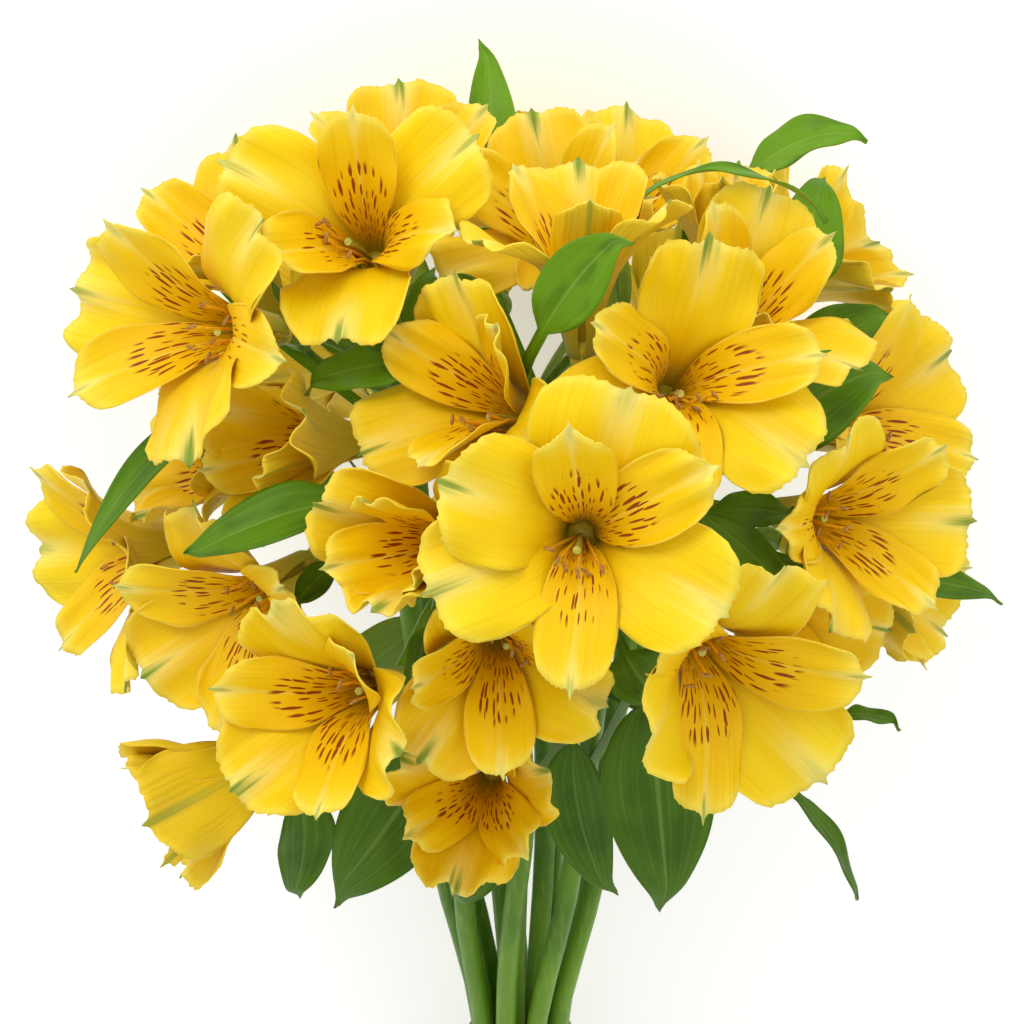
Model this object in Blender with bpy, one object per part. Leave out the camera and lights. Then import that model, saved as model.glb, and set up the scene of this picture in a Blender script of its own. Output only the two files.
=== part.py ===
"""A hand-tied bunch of yellow alstroemeria, laid on its side on a flat surface.

Each bloom is a solid of its own: tepals in two whorls, a short tube and stamens.
Each leafy stem is a solid of its own: the stem, its flower stalks and its leaves.
One tie holds the stems. Lengths in the tables are millimetres.

The tables place things as seen from in front of the bunch: across to the right,
up, and toward the viewer, all from the middle of the head of flowers.
"""

import math

import bmesh
import bpy
from mathutils import Matrix, Vector

MM = 0.001

# How the bunch lies: +Y runs from the cut ends to the head, +Z is up, and the
# middle of the head is at HEAD_MIDDLE.
AXIS_FROM_VIEW_DEG = 40.0
LIE_TILT_DEG = 13.0
HEAD_MIDDLE = (2.9, 92.6, 80.0)

# A tepal, in millimetres, before a bloom's own size is applied.
OUTER_LENGTH = 49.0
INNER_LENGTH = 47.0
OUTER_HALF_WIDTH = 13.8
INNER_HALF_WIDTH = 9.4
TEPAL_THICKNESS = 0.75
TUBE_ANGLE_DEG = 9.0
RIM_ANGLE_DEG = 72.0
RIM_CURL_DEG = 14.0
CUP_AT_CLAW = 0.42
CUP_AT_RIM = 0.12
THROAT_DEPTH = 14.0
OUTER_START = (2.9, 2.2)
INNER_START = (1.75, 3.0)
CLAW_SHARE = 0.08
CLAW_END = 0.08
BEND_FROM = 0.15
BEND_TO = 0.72

# Where a tepal is widest, how late its claw widens, and the width of its tip.
OUTER_SHAPE = (0.76, 1.15, 0.5)
INNER_SHAPE = (0.72, 1.6, 0.3)
OUTER_ROWS = (0.0, 0.34, 0.74, 1.0)
INNER_ROWS = (0.0, 0.36, 0.72, 1.0)
PATH_STEPS = 40

# The short tube that the tepals grow from, and the stamens, which show in a bloom
# whose tepals are open enough.
TUBE_RINGS = ((0.0, 2.6), (5.0, 3.8))
TUBE_SIDES = 6
STAMEN_RADIUS = 0.6
ANTHER_RADIUS = 1.02
STAMEN_LINE = ((0.8, 5.0), (4.0, 18.0), (8.0, 31.0))
STAMEN_ANGLES_DEG = (-28.0, 0.0, 28.0)
STAMENS_SHOW_FROM = 0.98
STAMEN_SIDES = 3

# Stems, stalks and leaves.
STEM_RADIUS = 2.5
STEM_SIDES = 6
STALK_RADIUS = 1.1
STALK_SIDES = 5
UPPER_STATIONS = (0.0, 0.35, 0.7, 1.0)
OVARY_RADIUS = 2.7
OVARY_LENGTH = 7.0
SEAT_GAP = 0.3
LEAF_THICKNESS = 0.7
LEAF_WIDTHS = (0.0, 0.55, 1.0, 0.78, 0.1)
LEAF_STATIONS = (0.33, 0.7, 1.0)
LEAF_FOLD = 0.22

# The bundle of stems: distances below the middle of the head, along the bunch.
CUT_AT = 290.0
TIE_AT = 190.0
NECK_AT = 105.0
RING_RADIUS = 9.6
CORE_RADIUS = 3.3
NECK_SPREAD = 2.1
CUT_SPREAD = 1.35
SPIRAL_DEG = 24.0
RING_STEMS = 9
RING_FROM_DEG = 70.0
CORE_FROM_DEG = 30.0
STEM_STATIONS = (290.0, 190.0, 148.0)
TIE_SIDES = 18
TIE_WIDTH = 9.0
TIE_THICKNESS = 1.4
TIE_ROOM = 0.8

# Each bloom: throat (across, up, toward), turn to the right and lift of its face in
# degrees, direction of its upper outer tepal in degrees, size, and how open it is.
BLOOMS = {
    "bloom_a": ((-32, 47, 50), -8, 18, 35, 0.97, (0.82, 0.84, 0.82, 0.42, 0.56, 0.5)),
    "bloom_b": ((-60, 30, 50), -42, 2, 165, 1.0, (1.07, 0.8, 0.95, 0.65, 0.5, 1.0)),
    "bloom_c": ((11, 46, 24), -22, 34, 105, 0.88, (0.74, 0.8, 0.8, 0.64, 0.64, 0.8)),
    "bloom_d": ((21, 51, -17), 24, 44, 75, 0.85, (0.9, 0.87, 0.35, 0.49, 0.5, 0.6)),
    "bloom_e": ((13, 34, 61), 0, 70, 90, 0.88, (0.66, 0.88, 0.58, 0.48, 0.33, 0.43)),
    "bloom_f": ((44, 40, 16), 14, 74, 60, 0.75, (0.3, 0.45, 0.3, 0.2, 0.2, 0.2)),
    "bloom_g": ((56, 42, -24), 69, 28, 0, 0.88, (0.74, 0.85, 0.5, 0.52, 0.38, 0.6)),
    "bloom_h": ((32, 17, 62), 12, 14, 85, 0.95, (0.6, 1.0, 0.95, 0.62, 0.76, 0.95)),
    "bloom_i": ((-1, 12, 62), -36, 15, 90, 0.89, (0.56, 0.78, 0.87, 0.44, 0.4, 0.49)),
    "bloom_j": ((-38, 6, 42), -52, -2, 140, 0.82, (0.25, 0.55, 0.53, 0.4, 0.4, 0.23)),
    "bloom_k": ((-13, -15, 64), -36, -4, 145, 0.86, (0.47, 0.21, 0.67, 0.27, 0.2, 0.23)),
    "bloom_l": ((13, -13, 84), 0, 0, 71, 1.0, (0.86, 1.02, 0.94, 0.56, 0.8, 1.25)),
    "bloom_m": ((-26, 52, 0), 5, 46, 95, 0.92, (0.78, 0.85, 0.85, 0.68, 0.68, 0.85)),
    "bloom_n": ((67, 9, 8), 56, 8, 30, 0.95, (0.83, 0.9, 0.75, 0.72, 0.72, 0.9)),
    "bloom_o": ((62, -10, 40), 40, -4, 0, 0.9, (0.78, 0.62, 0.72, 0.6, 0.62, 0.85)),
    "bloom_p": ((70, -20, -4), 71, -18, 330, 0.85, (0.46, 0.5, 0.5, 0.4, 0.4, 0.5)),
    "bloom_q": ((37, -36, 54), 22, -28, 320, 1.03, (0.83, 0.8, 0.5, 0.72, 0.66, 0.6)),
    "bloom_r": ((-32, -47, 56), -28, -8, 220, 0.95, (0.56, 0.55, 0.56, 0.5, 0.52, 0.45)),
    "bloom_s": ((-5, -36, 51), -2, -22, 225, 0.88, (0.62, 0.68, 0.5, 0.5, 0.42, 0.45)),
    "bloom_t": ((-7, -68, 18), -8, -10, 262, 0.85, (0.42, 0.45, 0.45, 0.33, 0.33, 0.4)),
    "bloom_u": ((-54, -64, 4), -88, -26, 240, 0.92, (0.34, 0.34, 0.34, 0.22, 0.22, 0.3)),
    "bloom_v": ((-53, -25, 30), -42, -26, 205, 0.92, (0.71, 0.85, 0.85, 0.68, 0.68, 0.85)),
    "bloom_w": ((-77, -17, 1), -66, -12, 170, 0.95, (0.78, 0.85, 0.7, 0.68, 0.68, 0.85)),
    "bloom_x": ((-56, -1, 13), -67, 7, 145, 0.85, (0.85, 0.28, 0.6, 0.6, 0.45, 0.75)),
    "bloom_y": ((-58, 40, 5), -43, 42, 110, 0.9, (0.79, 0.7, 0.7, 0.56, 0.56, 0.55)),
    "bloom_z": ((43, 26, 32), 27, 38, 70, 0.95, (0.59, 0.8, 0.8, 0.4, 0.34, 0.43)),
    "bloom_aa": ((50, -25, 16), 42, -34, 250, 0.85, (0.55, 0.6, 0.6, 0.48, 0.48, 0.6)),
    "bloom_ab": ((-38, 24, -40.4), -150, 24, 90, 0.92, (0.74, 0.8, 0.8, 0.64, 0.64, 0.8)),
    "bloom_ac": ((34, 24, -41), 152, 26, 90, 0.92, (0.74, 0.8, 0.8, 0.64, 0.64, 0.8)),
    "bloom_ad": ((-5, 50, -22), -178, 58, 90, 0.85, (0.64, 0.7, 0.7, 0.56, 0.56, 0.7)),
    "bloom_ae": ((-4, -12, -42), 178, -10, 90, 0.88, (0.64, 0.7, 0.7, 0.56, 0.56, 0.7)),
}

# A bloom's tepals: three outer ones, then three inner ones, from its upper outer tepal.
WHORLS = (
    ("outer", 0.0),
    ("outer", 124.0),
    ("outer", -124.0),
    ("inner", 54.0),
    ("inner", -54.0),
    ("inner", 180.0),
)

# The bloom in front has a seventh tepal, and its others don't stand evenly.
EXTRA_TEPALS = {"bloom_l": (("outer", 159.0, 0.8),)}
OWN_TURNS = {
    "bloom_h": (0.0, 124.0, -124.0, 78.0, -84.0, 180.0),
    "bloom_l": (0.0, 130.0, -102.0, 24.0, -44.0, -165.0),
}

# How much wider than others of their kind some tepals are.
WIDE_TEPALS = {("bloom_l", 0): 1.3}

# Each leafy stem: its place in the bundle (ring slot, or -1, -2, -3 in the core), the
# node that its flower stalks grow from, and its blooms.
STEMS = {
    "leafy_stem_1": (7, (-24, 14, 6), ("bloom_a", "bloom_m", "bloom_y", "bloom_b")),
    "leafy_stem_2": (6, (-27, -10, 2), ("bloom_j", "bloom_x", "bloom_w", "bloom_v")),
    "leafy_stem_3": (5, (-18, -28, 8), ("bloom_k", "bloom_r", "bloom_u")),
    "leafy_stem_4": (-1, (0, -4, 22), ("bloom_l", "bloom_i")),
    "leafy_stem_5": (4, (-2, -34, 2), ("bloom_s", "bloom_t")),
    "leafy_stem_6": (3, (20, -22, 6), ("bloom_q", "bloom_aa")),
    "leafy_stem_7": (2, (28, -8, -6), ("bloom_n", "bloom_o", "bloom_p")),
    "leafy_stem_8": (-2, (14, 4, 14), ("bloom_h", "bloom_z")),
    "leafy_stem_9": (-3, (4, 16, 4), ("bloom_c", "bloom_d", "bloom_e")),
    "leafy_stem_10": (1, (24, 14, -6), ("bloom_f", "bloom_g")),
    "leafy_stem_11": (8, (-14, 10, -18), ("bloom_ab", "bloom_ad")),
    "leafy_stem_12": (0, (8, 4, -20), ("bloom_ac", "bloom_ae")),
}

# Each leaf: its stem, how far up that stem it grows (1 is the node), where its blade
# begins to widen, its tip, half its width, how far its middle bows out, and the
# turn and lift of its upper face.
LEAVES = (
    ("leafy_stem_9", 1.0, (-8, 55, -6), (-8, 98, -12), 6.2, 3, -5, 5),
    ("leafy_stem_1", 1.0, (-51, 58, -12), (-51, 76, -16), 4.2, 1, 0, 0),
    ("leafy_stem_1", 0.9, (-71, 47, -6), (-80, 61, -12), 3.6, 1, 0, 20),
    ("leafy_stem_1", 1.0, (-33, 24, 16), (-56, 41, 14), 4.5, 2, 0, 30),
    ("leafy_stem_4", 1.0, (-22, 23, 66), (-46, 18, 60), 5.6, 3, -10, 25),
    ("leafy_stem_9", 0.86, (-21, 26, 54), (-20, 43, 50), 5.2, 2, -20, 10),
    ("leafy_stem_9", 0.93, (-5, 28, 58), (-17, 42, 52), 4.8, 2, 20, 25),
    ("leafy_stem_9", 0.97, (4.6, 28.4, 82.4), (21.6, 48.4, 93.4), 7.0, 2, 10, 25),
    ("leafy_stem_2", 1.0, (-60, 16, 44), (-97, -23, 30), 4.4, 6, -25, 25),
    ("leafy_stem_2", 1.0, (-36, -6, 62), (-71, -19, 62), 6.8, 5, -15, 30),
    ("leafy_stem_3", 1.0, (-40, -20, 44), (-49, -29, 40), 3.4, 1, -20, 0),
    ("leafy_stem_3", 1.0, (-19, -33, 50), (-23, -49, 52), 3.2, 1, -30, 0),
    ("leafy_stem_10", 1.0, (51, 66, 5), (77, 74, 12), 6.0, 4, 0, 40),
    ("leafy_stem_10", 1.0, (29, 61, 43), (68, 54, 34), 2.2, 7, 0, 70),
    ("leafy_stem_10", 1.0, (62, 39, 8), (68, 67, 2), 8.0, 4, 15, 0),
    ("leafy_stem_10", 1.0, (44, 41, 0), (39, 60, -6), 6.5, 2, -10, 10),
    ("leafy_stem_7", 1.0, (60, 26, 2), (83, 37, -4), 7.0, 2, 20, 20),
    ("leafy_stem_8", 1.0, (50, 4, 50), (80, 22, 40), 9.5, 3, 15, 15),
    ("leafy_stem_6", 1.0, (38, -9, 62), (60, -29, 56), 4.8, 3, 20, 20),
    ("leafy_stem_8", 1.0, (41, -9, 54), (59, -10, 50), 4.2, 2, 20, 20),
    ("leafy_stem_7", 1.0, (75, -23, 22), (106, -28, 20), 4.6, 3, 20, 30),
    ("leafy_stem_6", 0.9, (73, -55, -6), (86, -57, -10), 2.4, 1, 0, 40),
    ("leafy_stem_6", 0.6, (63, -74, -20), (79, -101, -34), 2.6, 4, 30, 30),
    ("leafy_stem_6", 0.3, (29, -51, 14), (34, -101, -14), 12.6, 5, 0, 10),
    ("leafy_stem_5", 0.3, (12, -62, -8), (21, -100, -34), 7.5, 3, -10, 20),
    ("leafy_stem_3", 0.3, (-18, -61, 6), (-44, -98, -16), 12.5, 4, -10, 20),
    ("leafy_stem_3", 0.6, (-50, -74, -10), (-53, -100, -30), 7.0, 3, 20, 10),
    ("leafy_stem_5", 0.2, (-9, -82, -36), (-16, -103, -52), 7.5, 3, 0, 20),
    ("leafy_stem_6", 0.8, (23, -40, 20), (31, -51, 14), 7.0, 2, 0, 20),
    ("leafy_stem_11", 0.6, (-20, -34, -24), (-50, -64, -44), 7.0, 4, 200, 10),
    ("leafy_stem_11", 1.0, (-22, 34, -30), (-40, 64, -36), 7.5, 3, 200, 30),
    ("leafy_stem_11", 0.9, (-14, -14, -40), (-34, -30, -58), 6.0, 3, 190, 0),
    ("leafy_stem_12", 0.6, (22, -34, -33), (46, -68, -40), 7.0, 4, 160, 10),
    ("leafy_stem_12", 1.0, (12, 26, -36), (22, 56, -44), 7.5, 3, 170, 30),
    ("leafy_stem_12", 0.9, (20, -12, -42), (44, -26, -54), 6.0, 3, 170, 0),
)


def front_to_world():
    """The bunch as seen from in front, turned to lie on its side."""
    lean = math.radians(AXIS_FROM_VIEW_DEG - LIE_TILT_DEG)
    cosine = math.cos(lean)
    sine = math.sin(lean)
    turned = Matrix(((1.0, 0.0, 0.0), (0.0, cosine, sine), (0.0, -sine, cosine)))
    placed = turned.to_4x4()
    placed.translation = Vector(HEAD_MIDDLE) * MM
    return placed


def smooth(value, low, high):
    """0 below low, 1 above high, and an even ramp between."""
    part = min(1.0, max(0.0, (value - low) / (high - low)))
    return part * part * (3.0 - 2.0 * part)


def facing(turn_deg, lift_deg):
    """The direction of a face turned to the right and lifted."""
    turn = math.radians(turn_deg)
    lift = math.radians(lift_deg)
    level = math.cos(lift)
    return Vector((math.sin(turn) * level, math.sin(lift), math.cos(turn) * level))


def bloom_axes(turn_deg, lift_deg):
    """Right, up and outward of a bloom."""
    out = facing(turn_deg, lift_deg)
    turn = math.radians(turn_deg)
    right = Vector((math.cos(turn), 0.0, -math.sin(turn)))
    return right, out.cross(right), out


def bloom_base(name):
    """Where a bloom meets its ovary."""
    throat, turn, lift = BLOOMS[name][:3]
    size = BLOOMS[name][4]
    return Vector(throat) - facing(turn, lift) * THROAT_DEPTH * size


def tepal_path(length, start, opening):
    """Points (outward, along) and slopes down the middle of a tepal."""
    tube = math.radians(TUBE_ANGLE_DEG)
    rim = math.radians(RIM_ANGLE_DEG) * opening
    curl = math.radians(RIM_CURL_DEG) * opening
    outward, along = start
    path = []
    for step in range(PATH_STEPS + 1):
        u = step / PATH_STEPS
        slope = tube + (rim - tube) * smooth(u, BEND_FROM, BEND_TO)
        slope += curl * smooth(u, BEND_TO, 1.0)
        path.append((outward, along, slope))
        outward += math.sin(slope) * length / PATH_STEPS
        along += math.cos(slope) * length / PATH_STEPS
    return path


def tepal_half_width(u, widest, slimness, tip_share):
    """A narrow claw below a broad blade with a round end, as a share of the widest."""
    if u > widest:
        rest = (u - widest) / (1.0 - widest)
        return max(tip_share, math.sqrt(max(0.0, 1.0 - rest * rest)))
    return CLAW_SHARE + (1.0 - CLAW_SHARE) * smooth(u, CLAW_END, widest) ** slimness


def tepal_rows(kind, size, opening, wide=1.0):
    """A tepal as its foot, one point, and rows of three: left, middle, right."""
    outer = kind == "outer"
    length = (OUTER_LENGTH if outer else INNER_LENGTH) * size
    half = (OUTER_HALF_WIDTH if outer else INNER_HALF_WIDTH) * size * wide
    start = [value * size for value in (OUTER_START if outer else INNER_START)]
    shape = OUTER_SHAPE if outer else INNER_SHAPE
    path = tepal_path(length, start, opening)
    rows = [(Vector((path[0][0], 0.0, path[0][1])),)]
    for u in (OUTER_ROWS if outer else INNER_ROWS)[1:]:
        outward, along, slope = path[round(u * PATH_STEPS)]
        width = half * tepal_half_width(u, *shape)
        cup = width * (CUP_AT_CLAW + (CUP_AT_RIM - CUP_AT_CLAW) * smooth(u, 0.3, 0.8))
        middle = Vector((outward, 0.0, along))
        inward = Vector((-math.cos(slope), 0.0, math.sin(slope)))
        edge = middle + inward * cup
        side = Vector((0.0, width, 0.0))
        rows.append((edge - side, middle, edge + side))
    return rows


def blade_mesh(name, rows):
    """An open sheet of triangles from a foot of one point through rows of points."""
    mesh = bpy.data.meshes.new(name)
    shape = bmesh.new()
    grid = [[shape.verts.new(point) for point in row] for row in rows]
    for left, right in zip(grid[1], grid[1][1:]):
        shape.faces.new((grid[0][0], right, left))
    for lower, upper in zip(grid[1:], grid[2:]):
        for left in range(len(lower) - 1):
            a, b = lower[left], lower[left + 1]
            c, d = upper[left + 1], upper[left]
            if left % 2:
                shape.faces.new((a, b, c))
                shape.faces.new((a, c, d))
            else:
                shape.faces.new((a, b, d))
                shape.faces.new((b, c, d))
    shape.to_mesh(mesh)
    shape.free()
    return mesh


def blade(name, rows, thickness):
    """A sheet made solid by its thickness."""
    piece = bpy.data.objects.new(name, blade_mesh(name, rows))
    bpy.context.scene.collection.objects.link(piece)
    solid = piece.modifiers.new("thickness", "SOLIDIFY")
    solid.thickness = thickness
    solid.offset = 0.0
    return piece


def tube(name, points, radii, sides):
    """A round stalk along points, with a radius at each and closed ends."""
    shape = bmesh.new()
    loops = []
    along = (points[1] - points[0]).normalized()
    across = along.orthogonal().normalized()
    for number, (point, radius) in enumerate(zip(points, radii)):
        before = points[max(0, number - 1)]
        after = points[min(len(points) - 1, number + 1)]
        along = (after - before).normalized()
        across = (across - along * across.dot(along)).normalized()
        third = along.cross(across)
        loop = []
        for side in range(sides):
            angle = 2.0 * math.pi * side / sides
            spoke = across * math.cos(angle) + third * math.sin(angle)
            loop.append(shape.verts.new(point + spoke * radius))
        loops.append(loop)
    return solid_from_loops(name, shape, loops)


def tube_mm(name, points, radii, sides):
    """A round stalk whose points and radii are in millimetres."""
    return tube(name, [point * MM for point in points], [radius * MM for radius in radii], sides)


def solid_from_loops(name, shape, loops):
    """A closed solid through loops of points, ended by flat caps."""
    sides = len(loops[0])
    for lower, upper in zip(loops, loops[1:]):
        for side in range(sides):
            after = (side + 1) % sides
            shape.faces.new((lower[side], lower[after], upper[after], upper[side]))
    shape.faces.new(reversed(loops[0]))
    shape.faces.new(loops[-1])
    mesh = bpy.data.meshes.new(name)
    shape.to_mesh(mesh)
    shape.free()
    piece = bpy.data.objects.new(name, mesh)
    bpy.context.scene.collection.objects.link(piece)
    return piece


def plain_mesh(piece):
    """The finished mesh of an object, with its place applied."""
    bpy.context.view_layer.update()
    graph = bpy.context.evaluated_depsgraph_get()
    mesh = bpy.data.meshes.new_from_object(piece.evaluated_get(graph))
    mesh.transform(piece.matrix_world)
    return mesh


def drop(piece):
    """Removes an object and the mesh that only it used."""
    mesh = piece.data
    bpy.data.objects.remove(piece)
    bpy.data.meshes.remove(mesh)


def as_mesh_object(piece):
    """An object with its modifiers applied."""
    mesh = plain_mesh(piece)
    name = piece.name
    drop(piece)
    solid = bpy.data.objects.new(name, mesh)
    bpy.context.scene.collection.objects.link(solid)
    return solid


def grown_together(name, core, parts):
    """One solid from a core and the parts that grow from it."""
    group = bpy.data.collections.new(name + "_parts")
    bpy.context.scene.collection.children.link(group)
    solids = [as_mesh_object(part) for part in parts]
    for solid in solids:
        bpy.context.scene.collection.objects.unlink(solid)
        group.objects.link(solid)
    core = as_mesh_object(core)
    join = core.modifiers.new("grown together", "BOOLEAN")
    join.operation = "UNION"
    join.operand_type = "COLLECTION"
    join.collection = group
    join.solver = "MANIFOLD"
    mesh = plain_mesh(core)
    for solid in solids + [core]:
        drop(solid)
    bpy.data.collections.remove(group)
    return mesh


def material(name, colour, roughness):
    """A Principled finish."""
    finish = bpy.data.materials.new(name)
    finish.use_nodes = True
    shader = finish.node_tree.nodes["Principled BSDF"]
    shader.inputs["Base Color"].default_value = (*colour, 1.0)
    shader.inputs["Roughness"].default_value = roughness
    shader.inputs["Metallic"].default_value = 0.0
    return finish


def place_node(name, mesh, finish, frame):
    """A finished solid, as a named object under the bunch's frame."""
    mesh.materials.clear()
    mesh.materials.append(finish)
    mesh.name = name
    node = bpy.data.objects.new(name, mesh)
    bpy.context.scene.collection.objects.link(node)
    node.parent = frame
    return node


def tepal_turns(name, roll_deg, openings):
    """Kind, direction and opening of a bloom's tepals, outer whorl first."""
    kinds = [kind for kind, _ in WHORLS]
    turns = OWN_TURNS.get(name, [turn for _, turn in WHORLS])
    whorls = [(kind, roll_deg + turn, o) for kind, turn, o in zip(kinds, turns, openings)]
    return whorls + list(EXTRA_TEPALS.get(name, ()))


def scaled(rows, factor):
    """Rows of points, each made larger by a factor."""
    return [[point * factor for point in row] for row in rows]


def stamen_points(roll_deg, angle_deg, size):
    """A filament that leans to the lower side of the bloom and turns up at its end."""
    down = math.radians(roll_deg + 180.0 + angle_deg)
    lean = Vector((math.cos(down), math.sin(down), 0.0))
    upward = Vector((0.0, 0.0, 1.0))
    return [(lean * outward + upward * along) * size for outward, along in STAMEN_LINE]


def make_bloom(name, finish, frame):
    """A bloom: its short tube, six tepals in two whorls, and stamens."""
    throat, turn, lift, roll, size, openings = BLOOMS[name]
    parts = []
    for number, (kind, direction, opening) in enumerate(tepal_turns(name, roll, openings)):
        wide = WIDE_TEPALS.get((name, number), 1.0)
        rows = scaled(tepal_rows(kind, size, opening, wide), MM)
        piece = blade(name + "_tepal", rows, TEPAL_THICKNESS * MM)
        piece.rotation_euler = (0.0, 0.0, math.radians(direction))
        parts.append(piece)
    if openings[1] >= STAMENS_SHOW_FROM:
        for angle in STAMEN_ANGLES_DEG:
            points = stamen_points(roll, angle, size)
            radii = (STAMEN_RADIUS, STAMEN_RADIUS, ANTHER_RADIUS)
            parts.append(tube_mm(name + "_stamen", points, radii, STAMEN_SIDES))
    heights = [Vector((0.0, 0.0, height * size)) for height, _ in TUBE_RINGS]
    radii = [radius * size for _, radius in TUBE_RINGS]
    core = tube_mm(name + "_tube", heights, radii, TUBE_SIDES)
    mesh = grown_together(name, core, parts)
    right, up, out = bloom_axes(turn, lift)
    place = Matrix((right, up, out)).transposed().to_4x4()
    place.translation = bloom_base(name) * MM
    mesh.transform(place)
    return place_node(name, mesh, finish, frame)


def axis_direction():
    """From the cut ends towards the head, as seen from in front."""
    lean = math.radians(AXIS_FROM_VIEW_DEG)
    return Vector((0.0, math.cos(lean), math.sin(lean)))


def bundle_point(slot, below):
    """The middle of a stem in the bundle, so far below the middle of the head."""
    if slot >= 0:
        angle = RING_FROM_DEG - 360.0 * slot / RING_STEMS
        radius = RING_RADIUS
    else:
        angle = CORE_FROM_DEG + 120.0 * slot
        radius = CORE_RADIUS
    span = TIE_AT - NECK_AT
    if below < TIE_AT:
        radius *= 1.0 + (NECK_SPREAD - 1.0) * smooth(TIE_AT - below, 0.0, span)
    else:
        radius *= 1.0 + (CUT_SPREAD - 1.0) * smooth(below - TIE_AT, 0.0, CUT_AT - TIE_AT)
    turn = math.radians(angle - SPIRAL_DEG * (below - NECK_AT) / span)
    axis = axis_direction()
    across = Vector((1.0, 0.0, 0.0))
    behind = axis.cross(across)
    return axis * -below + (across * math.cos(turn) + behind * math.sin(turn)) * radius


def curve_point(start, leave, end, arrive, part):
    """A point on the smooth curve that leaves one point and arrives at another."""
    a = 2.0 * part**3 - 3.0 * part**2 + 1.0
    b = part**3 - 2.0 * part**2 + part
    c = -2.0 * part**3 + 3.0 * part**2
    d = part**3 - part**2
    return start * a + leave * b + end * c + arrive * d


def upper_stem_point(name, up):
    """A point on a stem between the neck of the bundle (0) and its node (1)."""
    slot, node = STEMS[name][:2]
    start = bundle_point(slot, NECK_AT)
    end = Vector(node)
    leave = (start - bundle_point(slot, NECK_AT + 10.0)) * 9.0
    reach = (end - start).length
    arrive = (end - start).normalized() * reach * 0.6 + axis_direction() * reach * 0.4
    return curve_point(start, leave, end, arrive, up)


def stem_points(name):
    """The middle line of a stem, from its cut end to its node."""
    slot = STEMS[name][0]
    points = [bundle_point(slot, below) for below in STEM_STATIONS]
    points += [upper_stem_point(name, up) for up in UPPER_STATIONS]
    return points


def stalk_points(node, name):
    """A flower stalk from its node to the seat of its bloom, and its radii."""
    throat, turn, lift = BLOOMS[name][:3]
    out = facing(turn, lift)
    top = bloom_base(name) - out * SEAT_GAP
    neck = top - out * OVARY_LENGTH
    reach = (neck - node).length
    leave = (neck - node) * 0.5 + axis_direction() * reach * 0.35
    arrive = out * reach * 0.8
    points = [curve_point(node, leave, neck, arrive, part) for part in UPPER_STATIONS]
    points += [top - out * OVARY_LENGTH * 0.45, top]
    radii = [STALK_RADIUS] * 4 + [OVARY_RADIUS, OVARY_RADIUS * 0.8]
    return points, radii


def leaf_rows(leaf):
    """A leaf as its foot on the stem, one point, and rows of three up to its tip."""
    stem, at, root, tip, half, bow, turn, lift = leaf
    foot = upper_stem_point(stem, at)
    root, tip = Vector(root), Vector(tip)
    face = facing(turn, lift)
    line = [foot, root]
    for part in LEAF_STATIONS:
        line.append(root.lerp(tip, part) + face * bow * 4.0 * part * (1.0 - part))
    widths = [half * share for share in LEAF_WIDTHS]
    rows = []
    for number, (point, width) in enumerate(zip(line, widths)):
        before = line[max(0, number - 1)]
        after = line[min(len(line) - 1, number + 1)]
        side = (after - before).cross(face).normalized() * width
        fold = side.cross(after - before).normalized() * -LEAF_FOLD * width
        rows.append((point - side - fold, point, point + side - fold))
    rows[0] = (foot,)
    return rows


def make_leafy_stem(name, finish, frame):
    """A stem with its flower stalks, ovaries and leaves."""
    slot, node, blooms = STEMS[name]
    points = stem_points(name)
    radii = [STEM_RADIUS] * len(points)
    radii[-2:] = [STEM_RADIUS * 0.92, STEM_RADIUS * 0.8]
    core = tube_mm(name + "_stem", points, radii, STEM_SIDES)
    parts = []
    for bloom in blooms:
        points, radii = stalk_points(Vector(node), bloom)
        parts.append(tube_mm(bloom + "_stalk", points, radii, STALK_SIDES))
    for leaf in LEAVES:
        if leaf[0] == name:
            parts.append(blade(name + "_leaf", scaled(leaf_rows(leaf), MM), LEAF_THICKNESS * MM))
    mesh = grown_together(name, core, parts)
    return place_node(name, mesh, finish, frame)


def make_tie(finish, frame):
    """The band round the stems."""
    inner = RING_RADIUS + STEM_RADIUS + TIE_ROOM
    outer = inner + TIE_THICKNESS
    half = TIE_WIDTH * 0.5
    profile = ((inner, -half), (outer, -half), (outer, half), (inner, half))
    mesh = bpy.data.meshes.new("tie")
    shape = bmesh.new()
    loops = []
    for side in range(TIE_SIDES):
        angle = 2.0 * math.pi * side / TIE_SIDES
        loops.append([
            shape.verts.new(Vector((r * math.cos(angle), r * math.sin(angle), z)) * MM)
            for r, z in profile
        ])
    for side in range(TIE_SIDES):
        here = loops[side]
        there = loops[(side + 1) % TIE_SIDES]
        for corner in range(4):
            after = (corner + 1) % 4
            shape.faces.new((here[corner], there[corner], there[after], here[after]))
    shape.to_mesh(mesh)
    shape.free()
    axis = axis_direction()
    across = Vector((1.0, 0.0, 0.0))
    place = Matrix((across, axis.cross(across), axis)).transposed().to_4x4()
    place.translation = axis * -TIE_AT * MM
    mesh.transform(place)
    return place_node("tie", mesh, finish, frame)


def main():
    for thing in list(bpy.data.objects):
        bpy.data.objects.remove(thing)
    frame = bpy.data.objects.new("bunch", None)
    bpy.context.scene.collection.objects.link(frame)
    frame.matrix_world = front_to_world()
    yellow = material("alstroemeria_petal", (0.95, 0.68, 0.02), 0.5)
    green = material("alstroemeria_leaf", (0.08, 0.24, 0.03), 0.5)
    band = material("rubber_band", (0.62, 0.44, 0.24), 0.6)
    for name in BLOOMS:
        make_bloom(name, yellow, frame)
    for name in STEMS:
        make_leafy_stem(name, green, frame)
    make_tie(band, frame)


main()
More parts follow.
